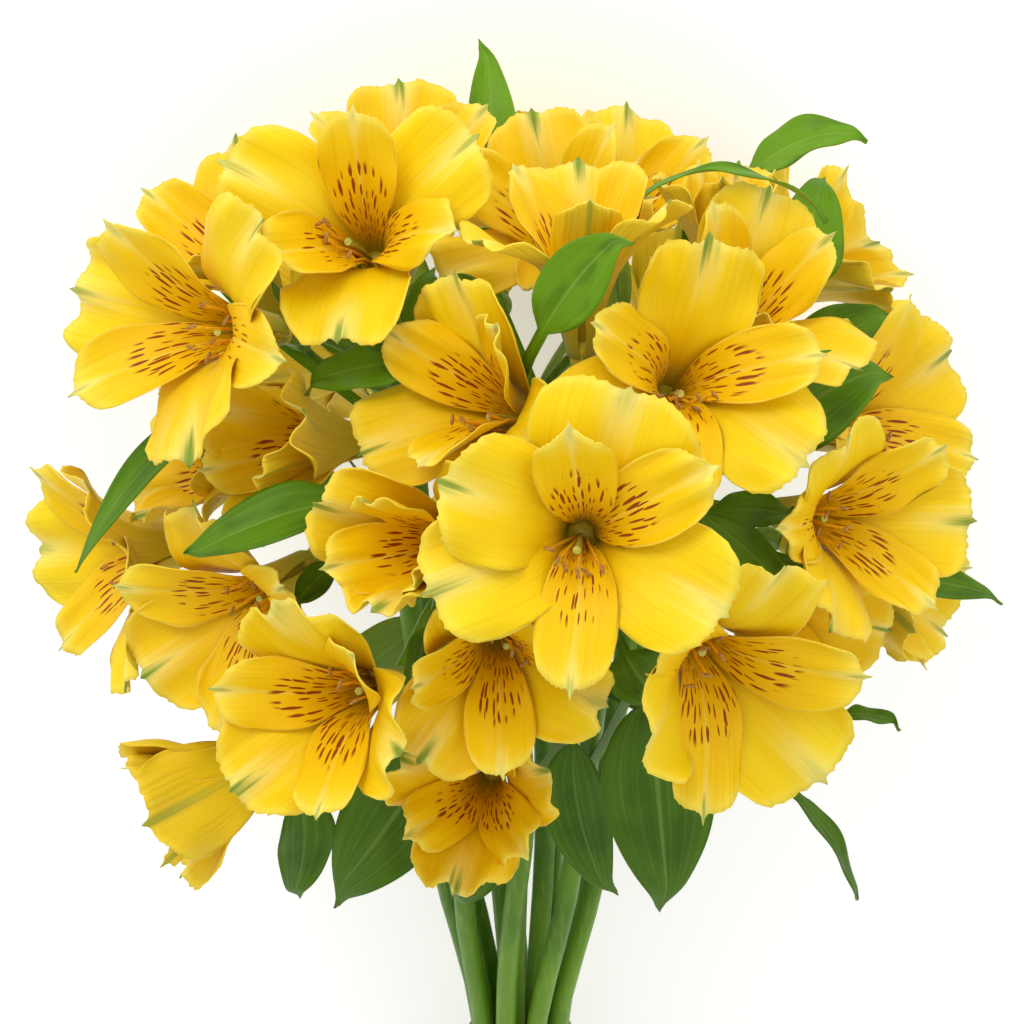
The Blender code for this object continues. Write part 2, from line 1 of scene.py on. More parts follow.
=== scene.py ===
# %% [markdown]
# # A hand-tied bunch of yellow alstroemeria
# The bunch lies on its side on a pale table. Twelve leafy stems are held by a rubber
# band, and thirty-one open blooms make its head. This lesson dresses the plain solids
# of the frame: every bloom, every leafy stem and the band gets a finer piece that
# keeps the form and the place of the solid that it stands for.

# %% Load the frame
import math
import random
from functools import partial

import bpy
from mathutils import Matrix, Vector


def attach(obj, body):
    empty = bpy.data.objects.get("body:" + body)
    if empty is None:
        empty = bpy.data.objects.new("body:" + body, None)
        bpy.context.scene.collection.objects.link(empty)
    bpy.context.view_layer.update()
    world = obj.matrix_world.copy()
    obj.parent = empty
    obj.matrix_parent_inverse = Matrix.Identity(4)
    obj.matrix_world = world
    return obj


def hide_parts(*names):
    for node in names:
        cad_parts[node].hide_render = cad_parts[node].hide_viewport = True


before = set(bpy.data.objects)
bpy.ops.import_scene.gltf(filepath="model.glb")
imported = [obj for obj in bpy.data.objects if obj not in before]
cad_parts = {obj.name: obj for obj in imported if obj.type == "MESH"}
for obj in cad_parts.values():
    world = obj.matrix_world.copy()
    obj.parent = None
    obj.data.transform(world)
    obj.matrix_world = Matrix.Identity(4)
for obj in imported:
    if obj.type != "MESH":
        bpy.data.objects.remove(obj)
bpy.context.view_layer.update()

print("nodes in the frame:", len(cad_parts))

# %% [markdown]
# ## Sizes
# A florist thinks of a bunch as seen from in front, so every place in the tables is
# given that way, in millimetres: across to the right, up, and toward the viewer, all
# from the middle of the head. One matrix then lays the whole bunch on the table. The
# tables repeat those that the solids were made from, because a finer piece has to sit
# exactly where its solid sits.

# %% How the bunch lies
MM = 0.001
AXIS_FROM_VIEW_DEG = 40.0
LIE_TILT_DEG = 13.0
HEAD_MIDDLE = (2.9, 92.6, 80.0)


def front_to_world():
    """The bunch as seen from in front, turned to lie on its side."""
    lean = math.radians(AXIS_FROM_VIEW_DEG - LIE_TILT_DEG)
    cosine = math.cos(lean)
    sine = math.sin(lean)
    turned = Matrix(((1.0, 0.0, 0.0), (0.0, cosine, sine), (0.0, -sine, cosine))).to_4x4()
    turned.translation = Vector(HEAD_MIDDLE) * MM
    return turned


def from_millimetres():
    """Front view in millimetres to the table in metres."""
    return front_to_world() @ Matrix.Scale(MM, 4)


print("height of the middle of the head, mm:", HEAD_MIDDLE[2])

# %% [markdown]
# ## Helpers
# Blender's operators act on whatever is selected, so each step first empties the
# selection. Colours are written as they are read off a screen, and one function turns
# them into the linear values that a shader needs. One more adds a shader node with its
# settings and its links, and hands back its output, ready to be linked on.

# %% Selecting, colours and shader nodes
# Settings that come back: a range with eased ends, and a mix of colours 6 and 7.
EASED = {"interpolation_type": "SMOOTHSTEP"}
TWO_COLOURS = {"data_type": "RGBA", "output": 2}


def select_only(*things):
    """Selects these objects and makes the first one active."""
    bpy.ops.object.select_all(action="DESELECT")
    for thing in things:
        thing.select_set(True)
    bpy.context.view_layer.objects.active = things[0]


def linear(hex_colour):
    """A screen colour such as "F8CE14" as linear red, green, blue and alpha."""
    values = [int(hex_colour[place:place + 2], 16) / 255.0 for place in (0, 2, 4)]
    return [v / 12.92 if v <= 0.04045 else ((v + 0.055) / 1.055) ** 2.4 for v in values] + [1.0]


def fill_inputs(finish, node, inputs):
    """Gives inputs of a node a number, a hex colour, or a link from another node."""
    for name, value in inputs.items():
        if isinstance(value, bpy.types.NodeSocket):
            finish.node_tree.links.new(value, node.inputs[name])
        else:
            node.inputs[name].default_value = linear(value) if isinstance(value, str) else value


def add_node(finish, kind, inputs=None, output=0, **settings):
    """Adds a shader node with its settings and links, and gives one of its outputs."""
    node = finish.node_tree.nodes.new("ShaderNode" + kind)
    for name, value in settings.items():
        setattr(node, name, value)
    fill_inputs(finish, node, inputs or {})
    return node.outputs[output]


def new_finish(name):
    """A material, a function that adds its nodes, and one that fills its shader."""
    finish = bpy.data.materials.new(name)
    finish.use_nodes = True
    shader = finish.node_tree.nodes["Principled BSDF"]
    return finish, partial(add_node, finish), partial(fill_inputs, finish, shader)


def overlay(node, under, over, value, span, shares=(0.0, 1.0)):
    """A colour laid over another; its share eases from one to the other along a span."""
    ends = dict(zip(("From Min", "From Max", "To Min", "To Max"), (*span, *shares)))
    share = node("MapRange", {"Value": value, **ends}, **EASED)
    return node("Mix", {"Factor": share, 6: under, 7: over}, **TWO_COLOURS)


print("the petal yellow as linear values:", [round(value, 3) for value in linear("F2CA04")])

# %% [markdown]
# ## The finish of a tepal
# An alstroemeria has six tepals: three broad outer ones and three narrow inner ones.
# Both are living petal, smooth and faintly waxy, so their shine is broad and soft.
# A tepal's own map runs across it from 0 to 1 and along it from 0 at the claw to 1 at
# the rim. Lines of one value across therefore meet at the claw, as the veins and the
# brown dashes do on the flower, so every pattern is drawn on that map.

# %% Reading a tepal's own map
OUTER_MM = 27.6
INNER_MM = 18.8
NOISE_SPREAD = 40.0


def own_map(node):
    """Across and along of a blade, how far from its middle line, and its own tone."""
    place = node("UVMap", uv_map="UVMap")
    parts = node("SeparateXYZ", {"Vector": place}).node
    across, along = parts.outputs["X"], parts.outputs["Y"]
    offset = node("Math", {0: across, 1: 2.0, 2: -1.0}, operation="MULTIPLY_ADD")
    offset = node("Math", {0: offset}, operation="ABSOLUTE")
    return across, along, offset, node("Attribute", output="Fac", attribute_name="tone")


def grain(node, across, along, lines, runs, tone, detail=2.0):
    """Noise drawn out along a blade, from another place of the noise for each blade."""
    spread = node("Math", {0: tone, 1: NOISE_SPREAD}, operation="MULTIPLY")
    place = node("CombineXYZ", {"X": across, "Y": along})
    place = {0: place, 1: (lines, runs, 0.0), 2: spread}
    place = node("VectorMath", place, operation="MULTIPLY_ADD")
    noise = {"Vector": place, "Scale": 1.0, "Detail": detail}
    return node("TexNoise", noise, noise_dimensions="2D")


print("an outer tepal is", OUTER_MM, "mm wide and an inner one", INNER_MM)

# %% [markdown]
# ### Colour and veins
# The tepals run from an olive throat through golden yellow to a paler lemon rim. Fine
# veins about 0.8 mm apart give a slight stripe and a slight relief. The thin rim lets
# light through, so a paler edge is painted along it as painted light.

# %% Colour, veins and shader of a tepal
VEIN_SPACING_MM = 0.8
VEIN_RUNS = 1.4
PETAL_ROUGHNESS = 0.48
PETAL_IOR = 1.27


def claw_to_rim(node, along, stops):
    """A colour that changes along a blade, from (place, hex colour) stops."""
    colour = node("ValToRGB", {"Fac": along})
    elements = colour.node.color_ramp.elements
    for element, (place, hex_colour) in zip(elements, (stops[0], stops[-1])):
        element.position, element.color = place, linear(hex_colour)
    for place, hex_colour in stops[1:-1]:
        elements.new(place).color = linear(hex_colour)
    return colour


def veined(node, across, along, tone, colour, vein_colour, width_mm, share):
    """A colour with fine veins drawn into it, and the veins' height."""
    veins = grain(node, across, along, width_mm / VEIN_SPACING_MM, VEIN_RUNS, tone)
    return overlay(node, colour, vein_colour, veins, (0.5, 0.72), (0.0, share)), veins


def petal_skin(node, fill_shader, colour, veins):
    """The soft satin of a petal, with its veins as relief."""
    bump = node("Bump", {"Height": veins, "Strength": 0.25, "Distance": 0.0004})
    skin = {"Base Color": colour, "Normal": bump, "Roughness": PETAL_ROUGHNESS, "IOR": PETAL_IOR}
    fill_shader(skin)


print("veins across an outer tepal:", round(OUTER_MM / VEIN_SPACING_MM))

# %% [markdown]
# ### The outer tepal
# Each outer tepal is plain, but for a soft green patch behind its tip that fades into
# the yellow through cream. The patch is drawn by the distance from a place just inside
# the tip, and noise added to that distance breaks its edge up into streaks.

# %% Finish of the outer tepals
TIP_PLACE = (0.5, 0.985, 0.0)
# The streaks of the patch are about 1 mm apart.
TIP_STREAKS = 26.0


def rim_and_tip(node, across, along, tone, colour, half_width, length, strength):
    """Painted light on the rim, and a streaky green patch back from the tip in a pale halo."""
    rim = node("Attribute", output="Fac", attribute_name="rim")
    # Painted light: the rim is painted paler for the light that shines through its thin edge.
    colour = overlay(node, colour, "FBE96A", rim, (0.92, 1.0), (0.0, 0.3))
    streaks = grain(node, across, along, TIP_STREAKS, 1.5, tone)
    away = node("CombineXYZ", {"X": across, "Y": along})
    away = node("VectorMath", {0: away, 1: TIP_PLACE}, operation="SUBTRACT")
    away = {0: away, 1: (1.0 / half_width, 1.0 / length, 0.0)}
    away = node("VectorMath", away, operation="MULTIPLY")
    away = node("VectorMath", {0: away}, output="Value", operation="LENGTH")
    away = node("Math", {0: streaks, 1: 1.3, 2: away}, operation="MULTIPLY_ADD")
    shown = {"Value": tone, "From Min": -0.2, "From Max": 0.6, "To Max": strength}
    shown = node("MapRange", shown, **EASED)
    colour = overlay(node, colour, "F4EC96", away, (0.7, 2.6), (0.5, 0.0))
    return overlay(node, colour, "6F8C24", away, (0.65, 1.5), (shown, 0.0))


def outer_face_finish():
    """The plain face of an outer tepal, a little clouded and of its own depth of yellow."""
    finish, node, fill_shader = new_finish("outer_tepal_petal")
    across, along, _, tone = own_map(node)
    colour = claw_to_rim(node, along, (
        (0.0, "B2AC1C"), (0.12, "CFB810"), (0.28, "EABF06"),
        (0.5, "F2CA04"), (0.8, "F4D108"), (1.0, "F5D61E"),
    ))
    cloud = grain(node, across, along, 2.4, 2.0, tone, 1.0)
    colour = overlay(node, colour, "F5DC26", cloud, (0.45, 0.72), (0.0, 0.45))
    colour = overlay(node, colour, "EDB804", tone, (0.2, 1.0), (0.0, 0.45))
    colour, veins = veined(node, across, along, tone, colour, "DFA806", OUTER_MM, 0.2)
    colour = rim_and_tip(node, across, along, tone, colour, 0.1, 0.2, 0.95)
    petal_skin(node, fill_shader, colour, veins)
    return finish


def back_finish(name, width_mm):
    """The underside of a tepal: paler, with a green line that grows towards the rim."""
    finish, node, fill_shader = new_finish(name)
    across, along, offset, tone = own_map(node)
    stops = ((0.0, "98A232"), (0.2, "CDB820"), (0.6, "E9C314"), (1.0, "F0D030"))
    colour = claw_to_rim(node, along, stops)
    colour, veins = veined(node, across, along, tone, colour, "D29E0C", width_mm, 0.4)
    strength = {"Value": along, "From Min": 0.3, "From Max": 0.95, "To Max": 0.7}
    strength = node("MapRange", strength, **EASED)
    colour = overlay(node, colour, "8FA23A", offset, (0.02, 0.14), (strength, 0.0))
    petal_skin(node, fill_shader, colour, veins)
    return finish


OUTER_FACE = outer_face_finish()
OUTER_BACK = back_finish("outer_tepal_underside", OUTER_MM)
print("outer finishes:", OUTER_FACE.name, OUTER_BACK.name)

# %% [markdown]
# ### The inner tepal
# Each inner tepal is golden and dashed with red-brown strokes 2 to 5 mm long, which
# point at the throat. Every cell of a Voronoi pattern holds one stroke: the pattern is
# stretched along the tepal, and a point near a cell's own centre is on its stroke. The
# upper two tepals carry many strokes and the lower one fewer, so each tepal carries a
# number that says how thick its strokes are.

# %% The dashes of the inner tepals
DASH_GRID = (10.0, 11.5, 0.0)
DASH_SPREAD = 80.0
DASH_SLIMNESS = (2.3, 1.0, 0.0)
DASH_FROM = (0.13, 0.21)
DASH_TO = 0.76


def dashes(node, across, along, offset, tone, streaks):
    """How much of a point is red-brown stroke."""
    # The strokes wander a little sideways, and their rows lie farther apart towards the rim.
    wander = grain(node, across, along, 6.0, 5.0, tone)
    bent = node("Math", {0: wander, 1: 0.07, 2: across}, operation="MULTIPLY_ADD")
    rows = node("Math", {0: along, 1: 0.6}, operation="POWER")
    spread = node("Math", {0: tone, 1: DASH_SPREAD}, operation="MULTIPLY")
    place = {0: node("CombineXYZ", {"X": bent, "Y": rows}), 1: DASH_GRID, 2: spread}
    place = node("VectorMath", place, operation="MULTIPLY_ADD")
    cell = {"Vector": place, "Scale": 1.0, "Randomness": 0.75}
    cell = node("TexVoronoi", cell, voronoi_dimensions="2D").node.outputs
    away = node("VectorMath", {0: place, 1: cell["Position"]}, operation="SUBTRACT")
    away = node("VectorMath", {0: away, 1: DASH_SLIMNESS}, operation="MULTIPLY")
    away = node("VectorMath", {0: away}, output="Value", operation="LENGTH")
    # Strokes grow longer towards the rim, and some cells draw a bold one, some a faint one.
    size = node("Math", {0: along, 1: 0.34, 2: 0.2}, operation="MULTIPLY_ADD")
    chance = node("Math", {0: cell["Color"], 1: 1.1, 2: 0.5}, operation="MULTIPLY_ADD")
    for factor in (streaks, chance):
        size = node("Math", {0: size, 1: factor}, operation="MULTIPLY")
    away = node("Math", {0: away, 1: size}, operation="DIVIDE")
    # They start above the claw and stop three quarters of the way up, lower at the sides.
    top = node("Math", {0: offset, 1: 2.0}, operation="POWER")
    top = node("Math", {0: top, 1: -0.24, 2: DASH_TO}, operation="MULTIPLY_ADD")
    below_top = node("Math", {0: top, 1: along}, operation="SUBTRACT")
    shown = {"Value": below_top, "From Max": 0.06, "To Max": 0.95}
    shown = node("MapRange", shown, **EASED)
    shown = {"Value": along, "From Min": DASH_FROM[0], "From Max": DASH_FROM[1], "To Max": shown}
    return away, node("MapRange", shown, **EASED)


print("a dash takes up to", round(INNER_MM / DASH_GRID[0], 1), "mm across")

# %% Finish of the inner tepals
def inner_face_finish():
    """The dashed face of an inner tepal."""
    finish, node, fill_shader = new_finish("inner_tepal_petal")
    across, along, offset, tone = own_map(node)
    colour = claw_to_rim(node, along, (
        (0.0, "AEA81A"), (0.12, "C9AE10"), (0.26, "E6B406"),
        (0.6, "F0C003"), (0.85, "F2CA08"), (1.0, "F4D838"),
    ))
    colour, veins = veined(node, across, along, tone, colour, "DCA004", INNER_MM, 0.22)
    colour = overlay(node, colour, "F0DC5C", offset, (0.0, 0.1), (0.35, 0.0))
    colour = rim_and_tip(node, across, along, tone, colour, 0.07, 0.1, 0.6)
    brown = overlay(node, "A04A12", "8C2F0A", along, (0.2, 0.6))
    streaks = node("Attribute", output="Fac", attribute_name="streaks")
    away, shown = dashes(node, across, along, offset, tone, streaks)
    colour = overlay(node, colour, brown, away, (0.8, 1.05), (shown, 0.0))
    petal_skin(node, fill_shader, colour, veins)
    return finish


INNER_FACE = inner_face_finish()
INNER_BACK = back_finish("inner_tepal_underside", INNER_MM)
PETAL_FINISHES = (OUTER_FACE, OUTER_BACK, INNER_FACE, INNER_BACK)
print("petal finishes:", [finish.name for finish in PETAL_FINISHES])

# %% [markdown]
# ### Throat, stamens and pistil
# The tepals stand on a short yellow-green seat. Six orange-yellow filaments rise from
# it, each with a pollen-brown anther, and one pale green style rises among them. These
# are small, so a colour with a little noise is detail enough.

# %% Finishes of the seat and the stamens
def mottled_finish(
    name, light, dark, spot_mm, roughness, span=(0.35, 0.65), detail=3.0, relief=0.2,
):
    """A matte skin of two close colours in spots of a real size."""
    finish, node, fill_shader = new_finish(name)
    place = node("TexCoord", output="Object")
    spots = {"Vector": place, "Scale": 1.0 / (spot_mm * MM), "Detail": detail}
    spots = node("TexNoise", spots)
    colour = overlay(node, light, dark, spots, span)
    bump = node("Bump", {"Height": spots, "Strength": relief, "Distance": 0.0002})
    fill_shader({"Base Color": colour, "Normal": bump, "Roughness": roughness})
    return finish


# Living skin is smooth, so the seat, the filaments and the style shine a little. Pollen
# is a dry dust, so the anthers don't shine at all.
SEAT = mottled_finish("flower_seat_skin", "E2CC34", "C4BC2E", 1.2, 0.5)
FILAMENT = mottled_finish("stamen_filament", "F0C428", "EAA81C", 1.5, 0.5)
ANTHER = mottled_finish("anther_pollen", "B98C3C", "94602A", 0.5, 0.85)
STYLE = mottled_finish("pistil_style", "C9C24A", "A3AE3C", 1.0, 0.5)
print("small finishes:", SEAT.name, FILAMENT.name, ANTHER.name, STYLE.name)

# %% [markdown]
# ## Shape of a tepal
# A tepal leaves the throat as a narrow claw, then flares outwards into a broad blade.
# Its middle line is a curve whose slope grows from almost upright to nearly flat, and
# how open the bloom is scales that slope. A flat grid is laid on this curve. A modifier
# could bend a grid, but it couldn't give each tepal its own ripples, notch, teeth and
# horn, so a function sets each point of the grid.

# %% The curve down the middle of a tepal
# Of each kind: length, half width and start (outward, along) in millimetres; where it is
# widest, its notch and its teeth as shares of its length; and how strong its waves are.
KINDS = {
    "outer": {
        "length": 49.0, "half": 13.8, "start": (2.9, 2.2), "claw_cup": 0.24, "widest": 0.76,
        "late": 1.0, "roundest": 2.6, "deepest_notch": 0.045, "waves": 1.0, "tooth": 0.009,
    },
    "inner": {
        "length": 47.0, "half": 8.6, "start": (1.75, 3.0), "claw_cup": 0.42, "widest": 0.75,
        "late": 1.1, "roundest": 2.5, "deepest_notch": 0.0, "waves": 0.6, "tooth": 0.006,
    },
}
TUBE_ANGLE_DEG = 9.0
RIM_ANGLE_DEG = 72.0
RIM_CURL_DEG = 14.0
CUP_AT_RIM = 0.12
THROAT_DEPTH = 14.0
CLAW_SHARE = 0.2
CLAW_END = 0.06
BEND_FROM = 0.15
BEND_TO = 0.72
PATH_STEPS = 40


def smooth(value, low, high):
    """0 below low, 1 above high, and an even ramp between."""
    part = min(1.0, max(0.0, (value - low) / (high - low)))
    return part * part * (3.0 - 2.0 * part)


def tepal_path(length, start, opening):
    """Points (outward, along) and slopes down the middle of a tepal."""
    tube = math.radians(TUBE_ANGLE_DEG)
    rim = math.radians(RIM_ANGLE_DEG) * opening
    curl = math.radians(RIM_CURL_DEG) * opening
    outward, along = start
    path = []
    for step in range(PATH_STEPS + 1):
        u = step / PATH_STEPS
        slope = tube + (rim - tube) * smooth(u, BEND_FROM, BEND_TO)
        slope += curl * smooth(u, BEND_TO, 1.0)
        path.append((outward, along, slope))
        outward += math.sin(slope) * length / PATH_STEPS
        along += math.cos(slope) * length / PATH_STEPS
    return path


def on_path(path, u):
    """Outward, along and slope at any part of the way, also a little past the end."""
    place = max(0.0, u) * (len(path) - 1)
    low = min(int(place), len(path) - 2)
    share = place - low
    return [a + (b - a) * share for a, b in zip(path[low], path[low + 1])]


flat_open = tepal_path(KINDS["outer"]["length"], KINDS["outer"]["start"], 1.0)
print("a flat-open outer tepal reaches out, mm:", round(flat_open[-1][0], 1))

# %% [markdown]
# ### Rim, ripples and horn
# Seen flat, an outer tepal is a broad egg with a shallow notch and a small horn at its
# tip, and its rim is finely toothed. An inner tepal is narrower and has no notch.
# Every tepal draws its own ripples from a random generator seeded with its name, so
# the bunch is the same each time that the script runs.

# %% One tepal's own shape
COLUMNS = 36
ROWS = 24
NOTCH_HALF_WIDTH = 0.3
HORN_HALF_WIDTH = 0.05
GROOVE_MM = 0.35
GROOVE_HALF_WIDTH = 0.14


def tepal_form(kind, size, opening, name, wide=1.0):
    """The numbers that one tepal is shaped by; lengths are in millimetres."""
    draw = random.Random(name)
    own = KINDS[kind]
    start = [value * size for value in own["start"]]
    return {
        **own,
        "path": tepal_path(own["length"] * size, start, opening),
        "half": own["half"] * size * wide,
        "round": draw.uniform(2.1, own["roundest"]),
        "notch": draw.uniform(0.01, own["deepest_notch"]) if own["deepest_notch"] else 0.0,
        "horn": draw.uniform(0.03, 0.05),
        "teeth": [draw.uniform(-1.0, 1.0) * own["tooth"] for _ in range(COLUMNS + 1)],
        "side_wave": (draw.uniform(0.8, 2.0) * own["waves"], draw.uniform(1.4, 2.6)),
        "rim_wave": (draw.uniform(0.9, 2.1) * own["waves"], draw.uniform(1.6, 2.8)),
        "phases": [draw.uniform(0.0, 2.0 * math.pi) for _ in range(3)],
        "roll_back": draw.uniform(-1.2, 1.6),
        "lean": draw.uniform(-1.5, 1.5),
    }


def rim_reach(form, across):
    """How far along the tepal its rim is, at one place across it."""
    power = form["round"]
    rounded = max(0.0, 1.0 - abs(across) ** power) ** (1.0 / power)
    reach = form["widest"] + (1.0 - form["widest"]) * rounded
    reach -= form["notch"] * math.exp(-((across / NOTCH_HALF_WIDTH) ** 2))
    reach += form["horn"] * math.exp(-((across / HORN_HALF_WIDTH) ** 2))
    return reach + form["teeth"][round((across + 1.0) * 0.5 * COLUMNS)]


def width_share(form, u):
    """How wide the blade is, as a share of its widest."""
    grown = smooth(u, CLAW_END, form["widest"]) ** form["late"]
    return CLAW_SHARE + (1.0 - CLAW_SHARE) * grown


def ripple(form, across, u, near_rim):
    """How far a point is lifted off the smooth blade."""
    side_height, side_count = form["side_wave"]
    rim_height, rim_count = form["rim_wave"]
    first, second, third = form["phases"]
    phase = first if across > 0.0 else second
    side = side_height * abs(across) ** 3 * math.sin(2.0 * math.pi * side_count * u + phase)
    rim = rim_height * near_rim * math.sin(math.pi * rim_count * across + third)
    groove = -GROOVE_MM * math.exp(-((across / GROOVE_HALF_WIDTH) ** 2)) * smooth(u, 0.15, 0.5)
    back = -form["roll_back"] * near_rim ** 2 * (0.4 + abs(across) ** 3)
    return side * smooth(u, 0.3, 0.7) + rim + groove + back


def tepal_point(form, across, step):
    """A point of the tepal and its place along it, from its place on the flat grid."""
    u = step * rim_reach(form, across)
    outward, along, slope = on_path(form["path"], u)
    width = form["half"] * width_share(form, u)
    deep = form["claw_cup"] + (CUP_AT_RIM - form["claw_cup"]) * smooth(u, 0.3, 0.8)
    cup = width * deep * across * across
    lift = cup + ripple(form, across, u, smooth(step, 0.6, 1.0))
    sway = form["lean"] * smooth(u, 0.4, 1.0)
    inward, raised = math.cos(slope) * lift, math.sin(slope) * lift
    return Vector((outward - inward, sway - across * width, along + raised)), u


print("points in one tepal:", (COLUMNS + 1) * (ROWS + 1))

# %% [markdown]
# ### From a flat grid to a tepal
# One flat grid is added with its map, and each tepal is a copy of it with its own mesh.
# The grid's map is kept across, and is set along by the real place on the tepal.

# %% The flat grid and a tepal made from it
def added(name, operator, **settings):
    """The object that an operator adds, smooth-shaded, under its own name."""
    bpy.ops.object.select_all(action="DESELECT")
    operator(**settings)
    piece = bpy.context.object
    piece.name = name
    bpy.ops.object.shade_smooth()
    return piece


def linked(name, data):
    """A new object with this mesh or curve."""
    piece = bpy.data.objects.new(name, data)
    bpy.context.scene.collection.objects.link(piece)
    return piece


def flat_grid(name, columns, rows):
    """A flat grid from -1 to 1, with a map."""
    grid = bpy.ops.mesh.primitive_grid_add
    return added(name, grid, x_subdivisions=columns, y_subdivisions=rows, size=2.0)


def carry(mesh, name, values):
    """Gives the points of a mesh a number each, or all the same, for a material to read."""
    if not isinstance(values, list):
        values = [values] * len(mesh.vertices)
    mesh.attributes.new(name, "FLOAT", "POINT").data.foreach_set("value", values)


def shaped_copy(pattern, name, point_at, place):
    """A copy of the flat grid with each point set by a function."""
    mesh = pattern.data.copy()
    mesh.name = name
    reach = []
    rim = []
    for vertex in mesh.vertices:
        across, step = vertex.co.x, (vertex.co.y + 1.0) * 0.5
        point, u = point_at(across, step)
        vertex.co = place @ point
        reach.append(u)
        rim.append(max(step, abs(across) ** 2 * smooth(step, 0.2, 0.6)))
    carry(mesh, "rim", rim)
    uv = mesh.uv_layers["UVMap"].data
    for loop in mesh.loops:
        uv[loop.index].uv.y = reach[loop.vertex_index]
    return linked(name, mesh)


TEPAL_GRID = flat_grid("tepal_grid", COLUMNS, ROWS)
print("faces in the flat grid:", len(TEPAL_GRID.data.polygons))

# %% [markdown]
# ## The stamens
# The six filaments lean to the lower side of the bloom and turn up at their ends. One
# set is modelled: each filament is a curve with a round bevel, made a mesh, with a
# rolled bean of a sphere for its anther. The set is then copied into each open bloom.

# %% One set of stamens
FILAMENTS = ((-48.0, 23.0), (-27.0, 30.0), (-12.0, 25.0), (8.0, 32.0), (22.0, 22.0), (46.0, 28.0))
FILAMENT_MM = 0.38
FILAMENT_STEPS = 8
FILAMENT_FROM = (1.2, 3.0)
FILAMENT_LEAN = 9.5
FILAMENT_TURN_UP = 3.0
ANTHER_MM = (0.5, 0.6, 1.4)
ANTHER_WAIST = 0.18
ANTHER_WAIST_REACH = 0.4
STYLE_MM = (0.6, 0.55, 0.5, 0.5, 0.5, 0.6, 0.9)


def rod(name, points, radii, finish, sides=3):
    """A round rod along points, from a curve with a bevel."""
    curve = bpy.data.curves.new(name, "CURVE")
    curve.dimensions = "3D"
    curve.bevel_depth = 1.0
    curve.bevel_resolution = sides
    curve.use_fill_caps = True
    line = curve.splines.new("POLY")
    line.points.add(len(points) - 1)
    for knot, point, radius in zip(line.points, points, radii):
        knot.co = (*point, 1.0)
        knot.radius = radius
    select_only(linked(name, curve))
    bpy.ops.object.convert(target="MESH")
    piece = bpy.context.object
    bpy.ops.object.shade_smooth_by_angle(angle=math.radians(50.0))
    piece.data.materials.clear()
    piece.data.materials.append(finish)
    return piece


def filament_points(angle_deg, length):
    """A filament in a bloom whose lower side is along -X."""
    side = math.radians(180.0 + angle_deg)
    start_out, start_up = FILAMENT_FROM
    points = []
    for step in range(FILAMENT_STEPS + 1):
        u = step / FILAMENT_STEPS
        outward = start_out + FILAMENT_LEAN * u * u - FILAMENT_TURN_UP * smooth(u, 0.75, 1.0)
        out_x, out_y = math.cos(side) * outward, math.sin(side) * outward
        points.append(Vector((out_x, out_y, start_up + length * u)))
    return points


def anther(name, at, direction):
    """An anther: a bean of a sphere, pressed along its length."""
    piece = added(name, bpy.ops.mesh.primitive_uv_sphere_add, segments=10, ring_count=8)
    for vertex in piece.data.vertices:
        waist = 1.0 - ANTHER_WAIST * math.exp(-((vertex.co.z / ANTHER_WAIST_REACH) ** 2))
        vertex.co = [a * b * waist for a, b in zip(vertex.co, ANTHER_MM)]
    turn = direction.to_track_quat("Z", "Y").to_matrix().to_4x4()
    piece.data.transform(Matrix.Translation(at) @ turn)
    piece.data.materials.append(ANTHER)
    return piece


def joined(name, pieces):
    """Several objects joined into one."""
    select_only(*pieces)
    if len(pieces) > 1:
        bpy.ops.object.join()
    piece = bpy.context.object
    piece.name = name
    piece.data.name = name
    return piece


def stamen_set():
    """Six stamens and the style, in millimetres, for a bloom that faces +Z."""
    pieces = []
    taper = [1.25 - 0.5 * step / FILAMENT_STEPS for step in range(FILAMENT_STEPS + 1)]
    radii = [FILAMENT_MM * share for share in taper]
    for number, (angle, length) in enumerate(FILAMENTS):
        points = filament_points(angle, length)
        pieces.append(rod(f"filament_{number}", points, radii, FILAMENT, 2))
        aslant = Vector((math.sin(number * 2.3), math.cos(number * 1.7), 0.25))
        pieces.append(anther(f"anther_{number}", points[-1], aslant))
    steps = range(len(STYLE_MM))
    style = [Vector((-0.4 - 3.2 * (step / 6.0) ** 2, 0.3, 3.0 + 3.4 * step)) for step in steps]
    pieces.append(rod("style", style, STYLE_MM, STYLE, 2))
    return joined("stamen_set", pieces)


STAMENS = stamen_set()
print("faces in one set of stamens:", len(STAMENS.data.polygons))

# %% [markdown]
# ## The blooms
# Each bloom is a seat with three outer tepals, three inner ones above them and a set
# of stamens. The tepals of a bloom are joined and given a thin wall with Solidify,
# whose new faces take the next finish in the list: that is how the undersides get
# theirs. The wall grows from the face toward the underside. Blooms that are nearly
# closed hide their stamens, so they are left without.

